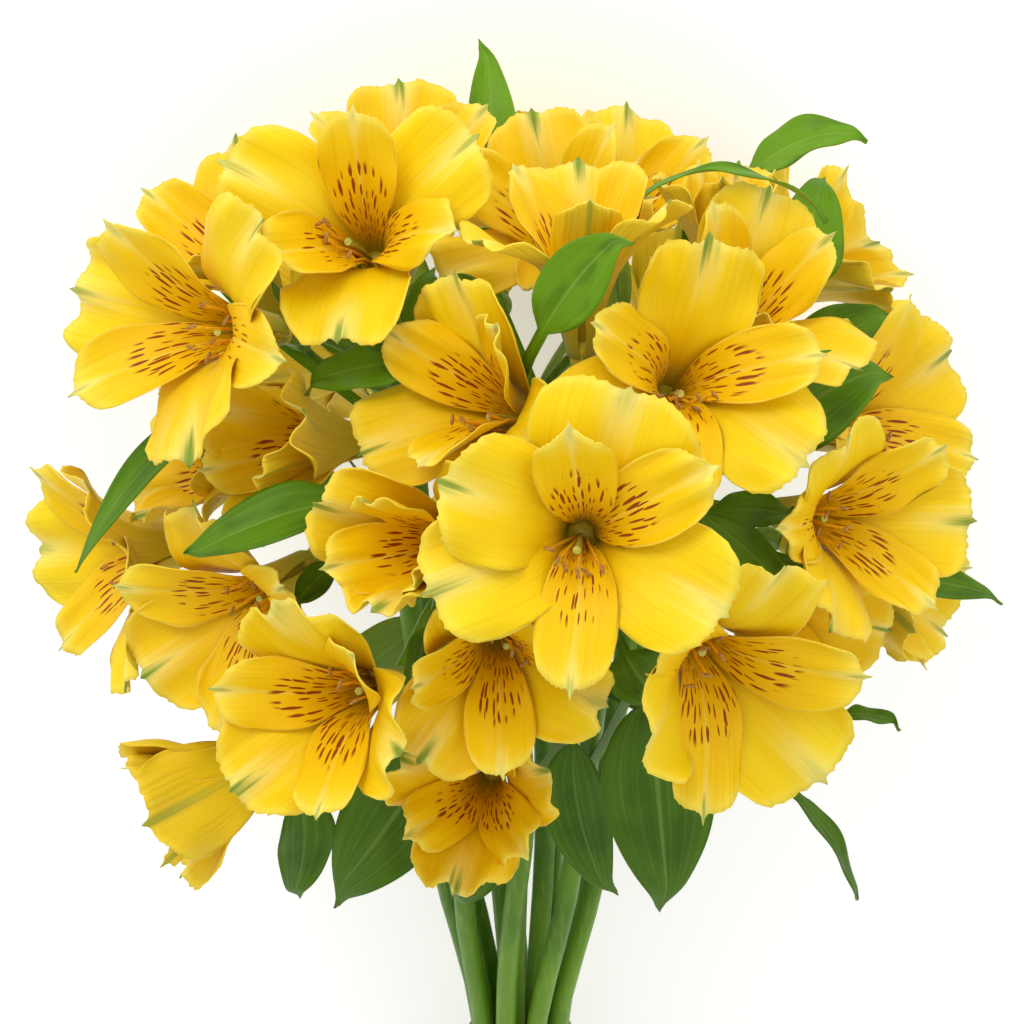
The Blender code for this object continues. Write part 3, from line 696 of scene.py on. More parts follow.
# %% Where the blooms are
# Each bloom: throat (across, up, toward), turn to the right and lift of its face in
# degrees, direction of its upper outer tepal in degrees, size, and how open it is.
BLOOMS = {
    "bloom_a": ((-32, 47, 50), -8, 18, 35, 0.97, (0.82, 0.84, 0.82, 0.42, 0.56, 0.5)),
    "bloom_b": ((-60, 30, 50), -42, 2, 165, 1.0, (1.07, 0.8, 0.95, 0.65, 0.5, 1.0)),
    "bloom_c": ((11, 46, 24), -22, 34, 105, 0.88, (0.74, 0.8, 0.8, 0.64, 0.64, 0.8)),
    "bloom_d": ((21, 51, -17), 24, 44, 75, 0.85, (0.9, 0.87, 0.35, 0.49, 0.5, 0.6)),
    "bloom_e": ((13, 34, 61), 0, 70, 90, 0.88, (0.66, 0.88, 0.58, 0.48, 0.33, 0.43)),
    "bloom_f": ((44, 40, 16), 14, 74, 60, 0.75, (0.3, 0.45, 0.3, 0.2, 0.2, 0.2)),
    "bloom_g": ((56, 42, -24), 69, 28, 0, 0.88, (0.74, 0.85, 0.5, 0.52, 0.38, 0.6)),
    "bloom_h": ((32, 17, 62), 12, 14, 85, 0.95, (0.6, 1.0, 0.95, 0.62, 0.76, 0.95)),
    "bloom_i": ((-1, 12, 62), -36, 15, 90, 0.89, (0.56, 0.78, 0.87, 0.44, 0.4, 0.49)),
    "bloom_j": ((-38, 6, 42), -52, -2, 140, 0.82, (0.25, 0.55, 0.53, 0.4, 0.4, 0.23)),
    "bloom_k": ((-13, -15, 64), -36, -4, 145, 0.86, (0.47, 0.21, 0.67, 0.27, 0.2, 0.23)),
    "bloom_l": ((13, -13, 84), 0, 0, 71, 1.0, (0.86, 1.02, 0.94, 0.47, 0.8, 1.0)),
    "bloom_m": ((-26, 52, 0), 5, 46, 95, 0.92, (0.78, 0.85, 0.85, 0.68, 0.68, 0.85)),
    "bloom_n": ((67, 9, 8), 56, 8, 30, 0.95, (0.83, 0.9, 0.75, 0.72, 0.72, 0.9)),
    "bloom_o": ((62, -10, 40), 40, -4, 0, 0.9, (0.78, 0.62, 0.72, 0.6, 0.62, 0.85)),
    "bloom_p": ((70, -20, -4), 71, -18, 330, 0.85, (0.46, 0.5, 0.5, 0.4, 0.4, 0.5)),
    "bloom_q": ((37, -36, 54), 22, -28, 320, 1.03, (0.83, 0.8, 0.5, 0.72, 0.66, 0.6)),
    "bloom_r": ((-32, -47, 56), -28, -8, 220, 0.95, (0.56, 0.55, 0.56, 0.5, 0.52, 0.45)),
    "bloom_s": ((-5, -36, 51), -2, -22, 225, 0.88, (0.62, 0.68, 0.5, 0.5, 0.42, 0.45)),
    "bloom_t": ((-7, -68, 18), -8, -10, 262, 0.85, (0.42, 0.45, 0.45, 0.33, 0.33, 0.4)),
    "bloom_u": ((-54, -64, 4), -88, -26, 240, 0.92, (0.34, 0.34, 0.34, 0.22, 0.22, 0.3)),
    "bloom_v": ((-53, -25, 30), -42, -26, 205, 0.92, (0.71, 0.85, 0.85, 0.68, 0.68, 0.85)),
    "bloom_w": ((-77, -17, 1), -66, -12, 170, 0.95, (0.78, 0.85, 0.7, 0.68, 0.68, 0.85)),
    "bloom_x": ((-56, -1, 13), -67, 7, 145, 0.85, (0.85, 0.28, 0.6, 0.6, 0.45, 0.75)),
    "bloom_y": ((-58, 40, 5), -43, 42, 110, 0.9, (0.79, 0.7, 0.7, 0.56, 0.56, 0.55)),
    "bloom_z": ((43, 26, 32), 27, 38, 70, 0.95, (0.59, 0.8, 0.8, 0.4, 0.34, 0.43)),
    "bloom_aa": ((50, -25, 16), 42, -34, 250, 0.85, (0.55, 0.6, 0.6, 0.48, 0.48, 0.6)),
    "bloom_ab": ((-38, 24, -40.4), -150, 24, 90, 0.92, (0.74, 0.8, 0.8, 0.64, 0.64, 0.8)),
    "bloom_ac": ((34, 24, -41), 152, 26, 90, 0.92, (0.74, 0.8, 0.8, 0.64, 0.64, 0.8)),
    "bloom_ad": ((-5, 50, -22), -178, 58, 90, 0.85, (0.64, 0.7, 0.7, 0.56, 0.56, 0.7)),
    "bloom_ae": ((-4, -12, -42), 178, -10, 90, 0.88, (0.64, 0.7, 0.7, 0.56, 0.56, 0.7)),
}

# A bloom's tepals: three outer ones, then three inner ones, from its upper outer tepal.
WHORLS = (
    ("outer", 0.0),
    ("outer", 124.0),
    ("outer", -124.0),
    ("inner", 54.0),
    ("inner", -54.0),
    ("inner", 180.0),
)

# The bloom in front has a seventh tepal, and its others don't stand evenly.
EXTRA_TEPALS = {"bloom_l": (("outer", 159.0, 0.8),)}
OWN_TURNS = {
    "bloom_h": (0.0, 124.0, -124.0, 78.0, -84.0, 180.0),
    "bloom_l": (0.0, 130.0, -102.0, 24.0, -44.0, -165.0),
}

# How much wider than others of their kind some tepals are.
WIDE_TEPALS = {("bloom_l", 0): 1.3}

# %% Placing a bloom
PETAL_WALL = 0.00032
SEAT_RINGS = ((0.0, 2.6), (2.5, 3.1), (5.0, 3.7), (6.0, 3.2), (6.8, 2.1), (7.2, 0.8))
STREAKS = (0.0, 0.0, 0.0, 1.0, 1.0, 0.72)
STAMENS_SHOW_FROM = 0.55


def facing(turn_deg, lift_deg):
    """The direction of a face turned to the right and lifted."""
    turn = math.radians(turn_deg)
    lift = math.radians(lift_deg)
    level = math.cos(lift)
    return Vector((math.sin(turn) * level, math.sin(lift), math.cos(turn) * level))


def bloom_base(name):
    """Where a bloom meets its ovary."""
    throat, turn, lift = BLOOMS[name][:3]
    size = BLOOMS[name][4]
    return Vector(throat) - facing(turn, lift) * THROAT_DEPTH * size


def bloom_place(name):
    """From a bloom that faces +Z, in millimetres, to the table, in metres."""
    turn, lift = BLOOMS[name][1:3]
    out = facing(turn, lift)
    right = Vector((math.cos(math.radians(turn)), 0.0, -math.sin(math.radians(turn))))
    place = Matrix((right, out.cross(right), out)).transposed().to_4x4()
    place.translation = bloom_base(name)
    return from_millimetres() @ place


print("blooms:", len(BLOOMS))

# %% The parts of a bloom
def bloom_tepals(name):
    """All tepals of a bloom, each with its own mesh and its own numbers."""
    roll, size, openings = BLOOMS[name][3:]
    turns = OWN_TURNS.get(name, [turn for _, turn in WHORLS])
    rows = [
        (kind, roll + turn, opening)
        for (kind, _), turn, opening in zip(WHORLS, turns, openings)
    ]
    rows += EXTRA_TEPALS.get(name, ())
    pieces = []
    for number, (kind, direction, opening) in enumerate(rows):
        label = f"{name}_tepal_{number}"
        form = tepal_form(kind, size, opening, label, WIDE_TEPALS.get((name, number), 1.0))
        place = bloom_place(name) @ Matrix.Rotation(math.radians(direction), 4, "Z")
        piece = shaped_copy(TEPAL_GRID, label, partial(tepal_point, form), place)
        for finish in PETAL_FINISHES:
            piece.data.materials.append(finish)
        face = PETAL_FINISHES.index(OUTER_FACE if kind == "outer" else INNER_FACE)
        piece.data.polygons.foreach_set("material_index", [face] * len(piece.data.polygons))
        carry(piece.data, "tone", random.Random(label + "_tone").random())
        carry(piece.data, "streaks", STREAKS[number % len(STREAKS)])
        pieces.append(piece)
    return pieces


def give_wall(piece, thickness):
    """A thin wall behind the faces, whose back takes the next finish."""
    select_only(piece)
    wall = piece.modifiers.new("wall", "SOLIDIFY")
    wall.thickness = thickness
    wall.offset = -1.0
    wall.material_offset = 1
    wall.use_rim = True
    bpy.ops.object.modifier_apply(modifier=wall.name)


def own_copy(pattern, name, place):
    """A copy with its own mesh, set in its place."""
    mesh = pattern.data.copy()
    mesh.transform(place)
    return linked(name, mesh)


def bloom_seat(name):
    """The short seat that the tepals stand on."""
    size = BLOOMS[name][4]
    points = [Vector((0.0, 0.0, height * size)) for height, _ in SEAT_RINGS]
    seat = rod(name + "_seat", points, [radius * size for _, radius in SEAT_RINGS], SEAT, 4)
    seat.data.transform(bloom_place(name))
    return seat


def make_bloom(name):
    """A finished bloom in the place of its solid; its stamens show if it is open enough."""
    roll, size, openings = BLOOMS[name][3:]
    petals = joined(name + "_petals", bloom_tepals(name))
    give_wall(petals, PETAL_WALL)
    pieces = [petals, bloom_seat(name)]
    if max(openings[:3]) > STAMENS_SHOW_FROM:
        turn = Matrix.Rotation(math.radians(roll), 4, "Z") @ Matrix.Scale(size, 4)
        pieces.append(own_copy(STAMENS, name + "_stamens", bloom_place(name) @ turn))
    bloom = joined(name + "_flower", pieces)
    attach(bloom, "root")
    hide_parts(name)
    return bloom


flowers = [make_bloom(name) for name in BLOOMS]
print("flowers made:", len(flowers))

# %% [markdown]
# ## The finishes of leaf and stem
# Leaves are thin and satin, with veins that run side by side from the foot to the tip,
# about 1 mm apart, and a paler line in the middle. Each leaf carries its own tone, from
# the fresh green of leaves high in the head to the deep green of low ones: painted
# shade, for the shade that falls on the low leaves.

# %% Finishes of the leaves and stems
LEAF_VEIN_MM = 1.0
GREEN_ROUGHNESS = 0.42
LEAF_IOR = 1.26
STEM_IOR = 1.3
BROAD_PATCH_MM = 40.0
# Streaks of a stem are about 1 mm wide and 8 mm long.
STREAKS_PER_METRE = (900.0, 120.0, 300.0)


def leaf_finish(name, fresh, deep):
    """The skin of one side of a leaf, between its deep and its fresh colour."""
    finish, node, fill_shader = new_finish(name)
    across, along, offset, tone = own_map(node)
    width = node("Attribute", output="Fac", attribute_name="width_mm")
    across_mm = node("Math", {0: across, 1: width}, operation="MULTIPLY")
    veins = grain(node, across_mm, along, 1.0 / LEAF_VEIN_MM, 0.8, tone, 3.0)
    patches = grain(node, across, along, 2.0, 3.0, tone)
    # Painted shade: the tone mixes from deep green on low leaves to fresh green on high ones.
    colour = node("Mix", {"Factor": tone, 6: deep, 7: fresh}, **TWO_COLOURS)
    colour = overlay(node, colour, "86A43A", veins, (0.42, 0.7), (0.0, 0.16))
    colour = overlay(node, colour, "234008", patches, (0.45, 0.8), (0.0, 0.45))
    colour = overlay(node, colour, "9DBB62", offset, (0.015, 0.07), (0.22, 0.0))
    bump = node("Bump", {"Height": veins, "Strength": 0.4, "Distance": 0.0005})
    skin = {"Base Color": colour, "Normal": bump, "Roughness": GREEN_ROUGHNESS, "IOR": LEAF_IOR}
    fill_shader(skin)
    return finish


def stem_finish():
    """A smooth stem, a little streaked along its length."""
    finish, node, fill_shader = new_finish("green_stem_skin")
    place = node("TexCoord", output="Object")
    streaks = node("Mapping", {"Vector": place, "Scale": STREAKS_PER_METRE})
    streaks = node("TexNoise", {"Vector": streaks, "Scale": 1.0, "Detail": 3.0})
    broad = {"Vector": place, "Scale": 1.0 / (BROAD_PATCH_MM * MM), "Detail": 1.0}
    broad = node("TexNoise", broad)
    colour = overlay(node, "507A1A", "68921C", broad, (0.35, 0.65))
    colour = overlay(node, colour, "8AA83E", streaks, (0.45, 0.75), (0.0, 0.35))
    bump = node("Bump", {"Height": streaks, "Strength": 0.25, "Distance": 0.0003})
    skin = {"Base Color": colour, "Normal": bump, "Roughness": GREEN_ROUGHNESS, "IOR": STEM_IOR}
    fill_shader(skin)
    return finish


# Waxy skin gives the leaves and stems a broad satin shine. The underside of a leaf is
# paler, an ovary is a little duller, and cut pith is dry, so it doesn't shine.
LEAF_FACE = leaf_finish("leaf_upper_skin", "6A9A10", "325607")
LEAF_BACK = leaf_finish("leaf_under_skin", "88A836", "54741C")
STEM_SKIN = stem_finish()
OVARY_SKIN = mottled_finish("ovary_skin", "7FA544", "5E8A36", 1.5, 0.45)
CUT_PITH = mottled_finish("cut_stem_pith", "C9D29A", "A9BB74", 0.8, 0.8)
print("green finishes:", LEAF_FACE.name, STEM_SKIN.name, OVARY_SKIN.name)

# %% [markdown]
# ## The bundle of stems
# Nine stems stand in a ring round three, and all twist a little, as a hand-tied spiral
# does. They spread above the band and a little below it. Above the neck each stem runs
# on a smooth curve to the node where its flower stalks begin.

# %% Where the stems run
# Each leafy stem: its place in the bundle (ring slot, or -1, -2, -3 in the core), the
# node that its flower stalks grow from, and its blooms.
STEMS = {
    "leafy_stem_1": (7, (-24, 14, 6), ("bloom_a", "bloom_m", "bloom_y", "bloom_b")),
    "leafy_stem_2": (6, (-27, -10, 2), ("bloom_j", "bloom_x", "bloom_w", "bloom_v")),
    "leafy_stem_3": (5, (-18, -28, 8), ("bloom_k", "bloom_r", "bloom_u")),
    "leafy_stem_4": (-1, (0, -4, 22), ("bloom_l", "bloom_i")),
    "leafy_stem_5": (4, (-2, -34, 2), ("bloom_s", "bloom_t")),
    "leafy_stem_6": (3, (20, -22, 6), ("bloom_q", "bloom_aa")),
    "leafy_stem_7": (2, (28, -8, -6), ("bloom_n", "bloom_o", "bloom_p")),
    "leafy_stem_8": (-2, (14, 4, 14), ("bloom_h", "bloom_z")),
    "leafy_stem_9": (-3, (4, 16, 4), ("bloom_c", "bloom_d", "bloom_e")),
    "leafy_stem_10": (1, (24, 14, -6), ("bloom_f", "bloom_g")),
    "leafy_stem_11": (8, (-14, 10, -18), ("bloom_ab", "bloom_ad")),
    "leafy_stem_12": (0, (8, 4, -20), ("bloom_ac", "bloom_ae")),
}

STEM_RADIUS = 2.5
STALK_RADIUS = 1.1
OVARY_RADIUS = 2.7
OVARY_LENGTH = 7.0
OVARY_CUT = 0.72
OVARY_RIB = 0.09
SEAT_GAP = 0.3
CUT_AT = 290.0
TIE_AT = 190.0
NECK_AT = 105.0
RING_RADIUS = 9.6
CORE_RADIUS = 3.3
NECK_SPREAD = 2.1
CUT_SPREAD = 1.35
SPIRAL_DEG = 24.0
RING_STEMS = 9
RING_FROM_DEG = 70.0
CORE_FROM_DEG = 30.0


def axis_direction():
    """From the cut ends towards the head, as seen from in front."""
    lean = math.radians(AXIS_FROM_VIEW_DEG)
    return Vector((0.0, math.cos(lean), math.sin(lean)))


def bundle_point(slot, below):
    """The middle of a stem in the bundle, so far below the middle of the head."""
    if slot >= 0:
        angle = RING_FROM_DEG - 360.0 * slot / RING_STEMS
        radius = RING_RADIUS
    else:
        angle = CORE_FROM_DEG + 120.0 * slot
        radius = CORE_RADIUS
    span = TIE_AT - NECK_AT
    if below < TIE_AT:
        radius *= 1.0 + (NECK_SPREAD - 1.0) * smooth(TIE_AT - below, 0.0, span)
    else:
        radius *= 1.0 + (CUT_SPREAD - 1.0) * smooth(below - TIE_AT, 0.0, CUT_AT - TIE_AT)
    turn = math.radians(angle - SPIRAL_DEG * (below - NECK_AT) / span)
    axis = axis_direction()
    across = Vector((1.0, 0.0, 0.0))
    behind = axis.cross(across)
    return axis * -below + (across * math.cos(turn) + behind * math.sin(turn)) * radius


def curve_point(start, leave, end, arrive, part):
    """A point on the smooth curve that leaves one point and arrives at another."""
    a = 2.0 * part**3 - 3.0 * part**2 + 1.0
    b = part**3 - 2.0 * part**2 + part
    c = -2.0 * part**3 + 3.0 * part**2
    d = part**3 - part**2
    return start * a + leave * b + end * c + arrive * d


def upper_stem_point(name, up):
    """A point on a stem between the neck of the bundle (0) and its node (1)."""
    slot, node = STEMS[name][:2]
    start = bundle_point(slot, NECK_AT)
    end = Vector(node)
    leave = (start - bundle_point(slot, NECK_AT + 10.0)) * 9.0
    reach = (end - start).length
    arrive = (end - start).normalized() * reach * 0.6 + axis_direction() * reach * 0.4
    return curve_point(start, leave, end, arrive, up)


print("stems:", len(STEMS), "length of the bunch below the head, mm:", CUT_AT)

# %% [markdown]
# ### Stems, stalks and ovaries
# Stems and stalks are round rods, so they are curves with a bevel again. Below each
# bloom its stalk swells into a ribbed green ovary, which is modelled once: a sphere
# drawn long, with every other meridian pressed in.

# %% Rods and the ovary
ROD_STEPS = 12
STEM_TAPER = (0.97, 0.93, 0.88, 0.8)


def stem_rod(name):
    """A stem from its cut end to its node."""
    slot = STEMS[name][0]
    below = [CUT_AT - (CUT_AT - NECK_AT) * step / ROD_STEPS for step in range(ROD_STEPS)]
    points = [bundle_point(slot, distance) for distance in below]
    points += [upper_stem_point(name, step / ROD_STEPS) for step in range(ROD_STEPS + 1)]
    radii = [STEM_RADIUS] * (len(points) - len(STEM_TAPER))
    radii += [STEM_RADIUS * share for share in STEM_TAPER]
    return rod(name + "_stem", points, radii, STEM_SKIN, 5)


def stalk_rod(node, bloom):
    """A flower stalk from its node to the ovary."""
    turn, lift = BLOOMS[bloom][1:3]
    out = facing(turn, lift)
    neck = bloom_base(bloom) - out * (SEAT_GAP + OVARY_LENGTH)
    reach = (neck - node).length
    leave = (neck - node) * 0.5 + axis_direction() * reach * 0.35
    steps = [step / ROD_STEPS for step in range(ROD_STEPS + 1)]
    points = [curve_point(node, leave, neck, out * reach * 0.8, part) for part in steps]
    points.append(neck + out * OVARY_LENGTH * 0.3)
    radii = [STALK_RADIUS] * (len(points) - 1) + [STALK_RADIUS * 1.2]
    return rod(bloom + "_stalk", points, radii, STEM_SKIN, 3)


def ovary_pattern():
    """A ribbed ovary, in millimetres, that stands on its lower end."""
    sphere = bpy.ops.mesh.primitive_uv_sphere_add
    piece = added("ovary_pattern", sphere, segments=24, ring_count=12)
    for vertex in piece.data.vertices:
        around = math.atan2(vertex.co.y, vertex.co.x)
        rib = 1.0 + OVARY_RIB * math.cos(6.0 * around)
        fat = OVARY_RADIUS * rib * (1.0 + 0.12 * vertex.co.z)
        height = (min(vertex.co.z, OVARY_CUT) + 1.0) / (OVARY_CUT + 1.0) * OVARY_LENGTH
        vertex.co = (vertex.co.x * fat, vertex.co.y * fat, height)
    piece.data.materials.append(OVARY_SKIN)
    return piece


OVARY = ovary_pattern()
print("faces in one ovary:", len(OVARY.data.polygons))

# %% [markdown]
# ### Leaves
# A leaf grows from the stem on a narrow stalk, widens, and ends in a hooked point. It
# is folded a little along its middle, and its edges wave. It is made as a tepal is,
# from a flat grid: the first rows follow the leaf's stalk and the others its blade.

# %% Where the leaves are
# Each leaf: the number of its stem, how far up that stem it grows (1 is the node),
# where its blade begins to widen, its tip, half its width, how far its middle bows out,
# and the turn and lift of its upper face.
LEAVES = (
    (9, 1.0, (-8, 55, -6), (-8, 98, -12), 6.2, 3, -5, 5),
    (1, 1.0, (-51, 58, -12), (-51, 76, -16), 4.2, 1, 0, 0),
    (1, 0.9, (-71, 47, -6), (-80, 61, -12), 3.6, 1, 0, 20),
    (1, 1.0, (-33, 24, 16), (-56, 41, 14), 4.5, 2, 0, 30),
    (4, 1.0, (-22, 23, 66), (-46, 18, 60), 5.6, 3, -10, 25),
    (9, 0.86, (-21, 26, 54), (-20, 43, 50), 5.2, 2, -20, 10),
    (9, 0.93, (-5, 28, 58), (-17, 42, 52), 4.8, 2, 20, 25),
    (9, 0.97, (4.6, 28.4, 82.4), (21.6, 48.4, 93.4), 7.0, 2, 10, 25),
    (2, 1.0, (-60, 16, 44), (-97, -23, 30), 4.4, 6, -25, 25),
    (2, 1.0, (-36, -6, 62), (-71, -19, 62), 6.8, 5, -15, 30),
    (3, 1.0, (-40, -20, 44), (-49, -29, 40), 3.4, 1, -20, 0),
    (3, 1.0, (-19, -33, 50), (-23, -49, 52), 3.2, 1, -30, 0),
    (10, 1.0, (51, 66, 5), (77, 74, 12), 6.0, 4, 0, 40),
    (10, 1.0, (29, 61, 43), (68, 54, 34), 2.2, 7, 0, 70),
    (10, 1.0, (62, 39, 8), (68, 67, 2), 8.0, 4, 15, 0),
    (10, 1.0, (44, 41, 0), (39, 60, -6), 6.5, 2, -10, 10),
    (7, 1.0, (60, 26, 2), (83, 37, -4), 7.0, 2, 20, 20),
    (8, 1.0, (50, 4, 50), (80, 22, 40), 9.5, 3, 15, 15),
    (6, 1.0, (38, -9, 62), (60, -29, 56), 4.8, 3, 20, 20),
    (8, 1.0, (41, -9, 54), (59, -10, 50), 4.2, 2, 20, 20),
    (7, 1.0, (75, -23, 22), (106, -28, 20), 4.6, 3, 20, 30),
    (6, 0.9, (73, -55, -6), (86, -57, -10), 2.4, 1, 0, 40),
    (6, 0.6, (63, -74, -20), (79, -101, -34), 2.6, 4, 30, 30),
    (6, 0.3, (29, -51, 14), (34, -101, -14), 12.6, 5, 0, 10),
    (5, 0.3, (12, -62, -8), (21, -100, -34), 7.5, 3, -10, 20),
    (3, 0.3, (-18, -61, 6), (-44, -98, -16), 12.5, 4, -10, 20),
    (3, 0.6, (-50, -74, -10), (-53, -100, -30), 7.0, 3, 20, 10),
    (5, 0.2, (-9, -82, -36), (-16, -103, -52), 7.5, 3, 0, 20),
    (6, 0.8, (23, -40, 20), (31, -51, 14), 7.0, 2, 0, 20),
    (11, 0.6, (-20, -34, -24), (-50, -64, -44), 7.0, 4, 200, 10),
    (11, 1.0, (-22, 34, -30), (-40, 64, -36), 7.5, 3, 200, 30),
    (11, 0.9, (-14, -14, -40), (-34, -30, -58), 6.0, 3, 190, 0),
    (12, 0.6, (22, -34, -33), (46, -68, -40), 7.0, 4, 160, 10),
    (12, 1.0, (12, 26, -36), (22, 56, -44), 7.5, 3, 170, 30),
    (12, 0.9, (20, -12, -42), (44, -26, -54), 6.0, 3, 170, 0),
)

# %% Shape of a leaf
LEAF_WALL = 0.00032
LEAF_FOLD = 0.22
LEAF_COLUMNS = 14
LEAF_ROWS = 36
LEAF_STALK_SHARE = 0.22
LEAF_STALK_HALF_WIDTH = 1.3
BLADE_POWERS = (0.65, 1.05)
BLADE_PEAK = 0.3228
HOOK_FROM = 0.8
SIDE_HOOK_FROM = 0.82
NEAR = 0.02


def blade_width_share(part):
    """Half the width of a leaf's blade as a share of its widest, from root to tip."""
    toward_root, toward_tip = BLADE_POWERS
    return part**toward_root * (1.0 - part) ** toward_tip / BLADE_PEAK


def leaf_point_maker(leaf, name):
    """A function that gives the points of one leaf."""
    stem, at, root, tip, half, bow, turn, lift = leaf
    draw = random.Random(name)
    wave = draw.uniform(0.3, 0.9)
    count = draw.uniform(1.3, 2.2)
    phases = (draw.uniform(0.0, 6.28), draw.uniform(0.0, 6.28))
    hook = draw.uniform(0.5, 1.8)
    side_hook = draw.choice((-1.0, 1.0)) * draw.uniform(1.2, 2.6)
    sway = draw.uniform(-0.08, 0.08) * half
    foot, root, tip = upper_stem_point(f"leafy_stem_{stem}", at), Vector(root), Vector(tip)
    face = facing(turn, lift)

    def blade_middle(part):
        hump = 4.0 * part * (1.0 - part)
        across = (tip - root).cross(face).normalized()
        return root.lerp(tip, part) + face * bow * hump + across * sway * hump * 4.0

    def blade_side(part):
        before, after = max(0.0, part - NEAR), min(1.0, part + NEAR)
        along = (blade_middle(after) - blade_middle(before)).normalized()
        side = along.cross(face).normalized()
        return side, side.cross(along).normalized()

    first = (blade_middle(NEAR) - root).normalized() * (root - foot).length

    def point_at(across, step):
        if step < LEAF_STALK_SHARE:
            middle = curve_point(foot, root - foot, root, first * 0.8, step / LEAF_STALK_SHARE)
            return middle + blade_side(0.0)[0] * LEAF_STALK_HALF_WIDTH * across, step
        part = (step - LEAF_STALK_SHARE) / (1.0 - LEAF_STALK_SHARE)
        side, upward = blade_side(part)
        width = max(LEAF_STALK_HALF_WIDTH * (1.0 - part) ** 2, half * blade_width_share(part))
        edge = abs(across)
        raised = LEAF_FOLD * width * edge**1.4 * smooth(part, 0.0, 0.2)
        phase = phases[0] if across > 0.0 else phases[1]
        ruffle = math.sin(2.0 * math.pi * count * part + phase)
        raised += wave * edge**2 * ruffle * smooth(part, 0.05, 0.3)
        raised -= hook * smooth(part, HOOK_FROM, 1.0) ** 2
        sideways = width * across + side_hook * smooth(part, SIDE_HOOK_FROM, 1.0) ** 2
        return blade_middle(part) + side * sideways + upward * raised, step

    return point_at


LEAF_GRID = flat_grid("leaf_grid", LEAF_COLUMNS, LEAF_ROWS)
print("leaves:", len(LEAVES))

# %% [markdown]
# ### One leafy stem
# The leaves of a stem are joined and given a thin wall, and the stem, its stalks and
# its ovaries are joined to them. Shaded leaves low in the bunch are given the deep
# tone, and those high in the head the fresh one.

# %% The leafy stems
HEAD_RADIUS = 110.0


def painted_leaf_shade(leaf):
    """Painted shade: fresh green for a leaf whose tip is high in the head, deep for a low one."""
    height = (leaf[3][1] + HEAD_RADIUS) / (2.0 * HEAD_RADIUS)
    return min(1.0, max(0.0, 0.25 + 0.75 * height))


def stem_leaves(name):
    """The leaves of one stem, each with its own mesh."""
    pieces = []
    for number, leaf in enumerate(LEAVES):
        if f"leafy_stem_{leaf[0]}" != name:
            continue
        label = f"{name}_leaf_{number}"
        piece = shaped_copy(LEAF_GRID, label, leaf_point_maker(leaf, label), from_millimetres())
        for finish in (LEAF_FACE, LEAF_BACK):
            piece.data.materials.append(finish)
        carry(piece.data, "tone", painted_leaf_shade(leaf))
        carry(piece.data, "width_mm", 2.0 * leaf[4])
        pieces.append(piece)
    return pieces


def colour_cut_end(piece):
    """Gives the flat end of a stem the colour of its cut pith."""
    piece.data.materials.append(CUT_PITH)
    axis = axis_direction()
    for face in piece.data.polygons:
        if face.normal.dot(axis) < -0.9 and face.center.dot(axis) < -CUT_AT + 1.0:
            face.material_index = 1


def make_leafy_stem(name):
    """A finished leafy stem in the place of its solid."""
    node, blooms = STEMS[name][1:]
    leaves = joined(name + "_leaves", stem_leaves(name))
    give_wall(leaves, LEAF_WALL)
    stem = stem_rod(name)
    colour_cut_end(stem)
    rods = [stem] + [stalk_rod(Vector(node), bloom) for bloom in blooms]
    for piece in rods:
        piece.data.transform(from_millimetres())
    ovaries = []
    for bloom in blooms:
        seat = Matrix.Translation((0.0, 0.0, -SEAT_GAP - OVARY_LENGTH))
        ovaries.append(own_copy(OVARY, bloom + "_ovary", bloom_place(bloom) @ seat))
    stem = joined(name + "_greens", [leaves] + rods + ovaries)
    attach(stem, "root")
    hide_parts(name)
    return stem


greens = [make_leafy_stem(name) for name in STEMS]
print("leafy stems made:", len(greens))

# %% [markdown]
# ## The band
# Market bunches are held by a natural rubber band wound a few times. Each turn is a
# torus pressed flat, and the turns cross each other a little.

# %% The rubber band
BAND_TURNS = ((-3.0, 3.0, 0.0), (-1.0, -2.5, 40.0), (1.1, 2.0, 100.0), (3.1, -3.0, 160.0))
BAND_RADIUS = 13.5
BAND_HALF_WIDTH = 1.0
BAND_HALF_THICKNESS = 0.45


def band_turn(number, offset, tilt_deg, about_deg):
    """One turn of the band round the stems, in millimetres."""
    turn = added(
        f"band_turn_{number}", bpy.ops.mesh.primitive_torus_add, major_segments=72,
        minor_segments=12, major_radius=BAND_RADIUS, minor_radius=BAND_HALF_THICKNESS,
    )
    for vertex in turn.data.vertices:
        vertex.co.z *= BAND_HALF_WIDTH / BAND_HALF_THICKNESS
    about = Matrix.Rotation(math.radians(about_deg), 4, "Z")
    tilt = about @ Matrix.Rotation(math.radians(tilt_deg), 4, "X")
    turn.data.transform(Matrix.Translation((0.0, 0.0, offset)) @ tilt)
    turn.data.materials.append(RUBBER)
    return turn


def make_band():
    """The band in the place of its solid."""
    band = joined("tie_band", [band_turn(number, *row) for number, row in enumerate(BAND_TURNS)])
    axis = axis_direction()
    across = Vector((1.0, 0.0, 0.0))
    place = Matrix((across, axis.cross(across), axis)).transposed().to_4x4()
    place.translation = axis * -TIE_AT
    band.data.transform(from_millimetres() @ place)
    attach(band, "root")
    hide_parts("tie")
    return band


# Natural rubber is tan and matte, and fine dust on it makes it look paler in spots.
RUBBER = mottled_finish(
    "natural_rubber_band", "C69A62", "D9B682", 1.0 / 0.7, 0.65,
    span=(0.4, 0.7), detail=4.0, relief=0.3,
)
band = make_band()
print("faces in the band:", len(band.data.polygons))

# %% Remove the patterns
for pattern in (TEPAL_GRID, STAMENS, OVARY, LEAF_GRID):
    bpy.data.objects.remove(pattern)

# %% [markdown]
# ## Table, light and camera
# The bunch lies on a light table, almost white, that glows a little from below. A
# large soft light from the upper left models the petals, a second one from the right
# keeps the shadows open, and the room is bright. The camera looks down on the bunch,
# straight at the front of its head.

# %% Table and light
TABLE_GLOW = 0.28
TABLE_SIDE = 6.0
TABLE_BELOW = 0.0004
ROOM_LIGHT = 0.82


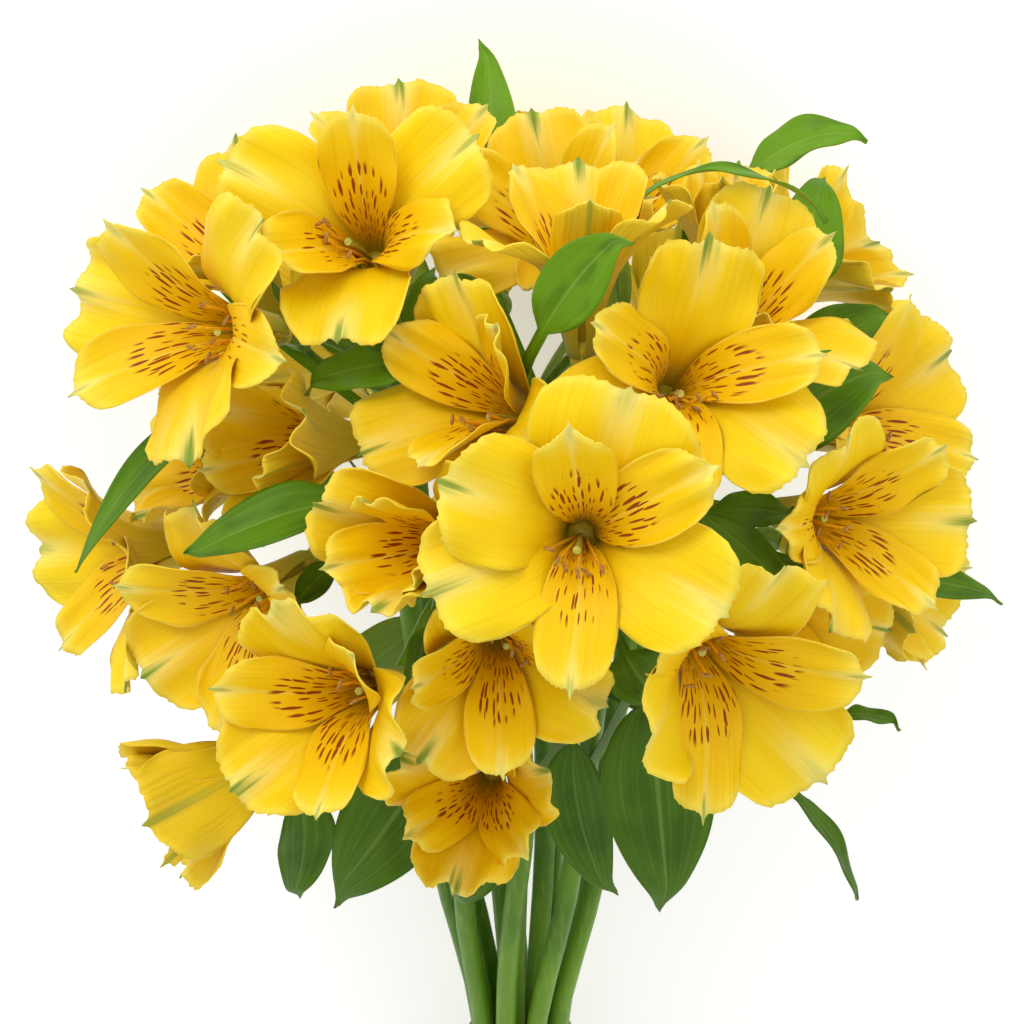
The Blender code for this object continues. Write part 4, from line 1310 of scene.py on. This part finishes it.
def table_finish():
    """The pale top of a light table, faintly uneven and lit a little from below."""
    finish, node, fill_shader = new_finish("light_table_top")
    place = node("TexCoord", output="Object")
    noise = node("TexNoise", {"Vector": place, "Scale": 3.0, "Detail": 2.0})
    pale = node("Mix", {"Factor": noise, 6: "FBFBFA", 7: "F6F6F4"}, **TWO_COLOURS)
    fill_shader({
        "Base Color": pale, "Roughness": 0.7,
        "Emission Color": "FFFFFF", "Emission Strength": TABLE_GLOW,
    })
    return finish


def soft_light(name, from_front, size, power):
    """A square light that points at the head, placed as seen from in front in metres."""
    target = front_to_world().translation
    place = front_to_world() @ Vector(from_front)
    bpy.ops.object.light_add(type="AREA", location=place)
    light = bpy.context.object
    light.name = name
    light.data.size = size
    light.data.energy = power
    light.rotation_mode = "QUATERNION"
    light.rotation_quaternion = (target - place).to_track_quat("-Z", "Y")
    return light


bpy.ops.object.select_all(action="DESELECT")
bpy.ops.mesh.primitive_plane_add(size=TABLE_SIDE, location=(0.0, 0.0, -TABLE_BELOW))
table = bpy.context.object
table.name = "table"
table.data.materials.append(table_finish())

key = soft_light("key_light", (-0.45, 0.7, 1.0), 0.6, 5.7)
fill = soft_light("fill_light", (0.8, -0.1, 0.9), 0.9, 1.5)
world = bpy.data.worlds.new("bright_room")
bpy.context.scene.world = world
world.use_nodes = True
sky = world.node_tree.nodes["Background"].inputs
sky["Color"].default_value, sky["Strength"].default_value = linear("FFFFFF"), ROOM_LIGHT
bpy.context.scene.view_settings.view_transform = "Standard"
print("lights:", key.data.energy, fill.data.energy)

# %% The camera
PHOTO_PIXELS = 1024
MM_PER_PIXEL = 0.224
HEAD_PIXEL = (520, 470)
VIEW_DISTANCE = 1.0
SENSOR_MM = 36.0


def add_camera():
    """A camera straight in front of the head, framed as the photograph is."""
    bpy.ops.object.camera_add()
    camera = bpy.context.object
    eye = front_to_world() @ Vector((0.0, 0.0, VIEW_DISTANCE))
    camera.matrix_world = Matrix.Translation(eye) @ front_to_world().to_3x3().to_4x4()
    camera.data.sensor_width = SENSOR_MM
    camera.data.lens = SENSOR_MM * VIEW_DISTANCE / (PHOTO_PIXELS * MM_PER_PIXEL * MM)
    camera.data.shift_x = 0.5 - HEAD_PIXEL[0] / PHOTO_PIXELS
    camera.data.shift_y = HEAD_PIXEL[1] / PHOTO_PIXELS - 0.5
    camera.data.clip_start = 0.01
    return camera


bpy.context.scene.camera = add_camera()
print("lens, mm:", round(bpy.context.scene.camera.data.lens, 1))
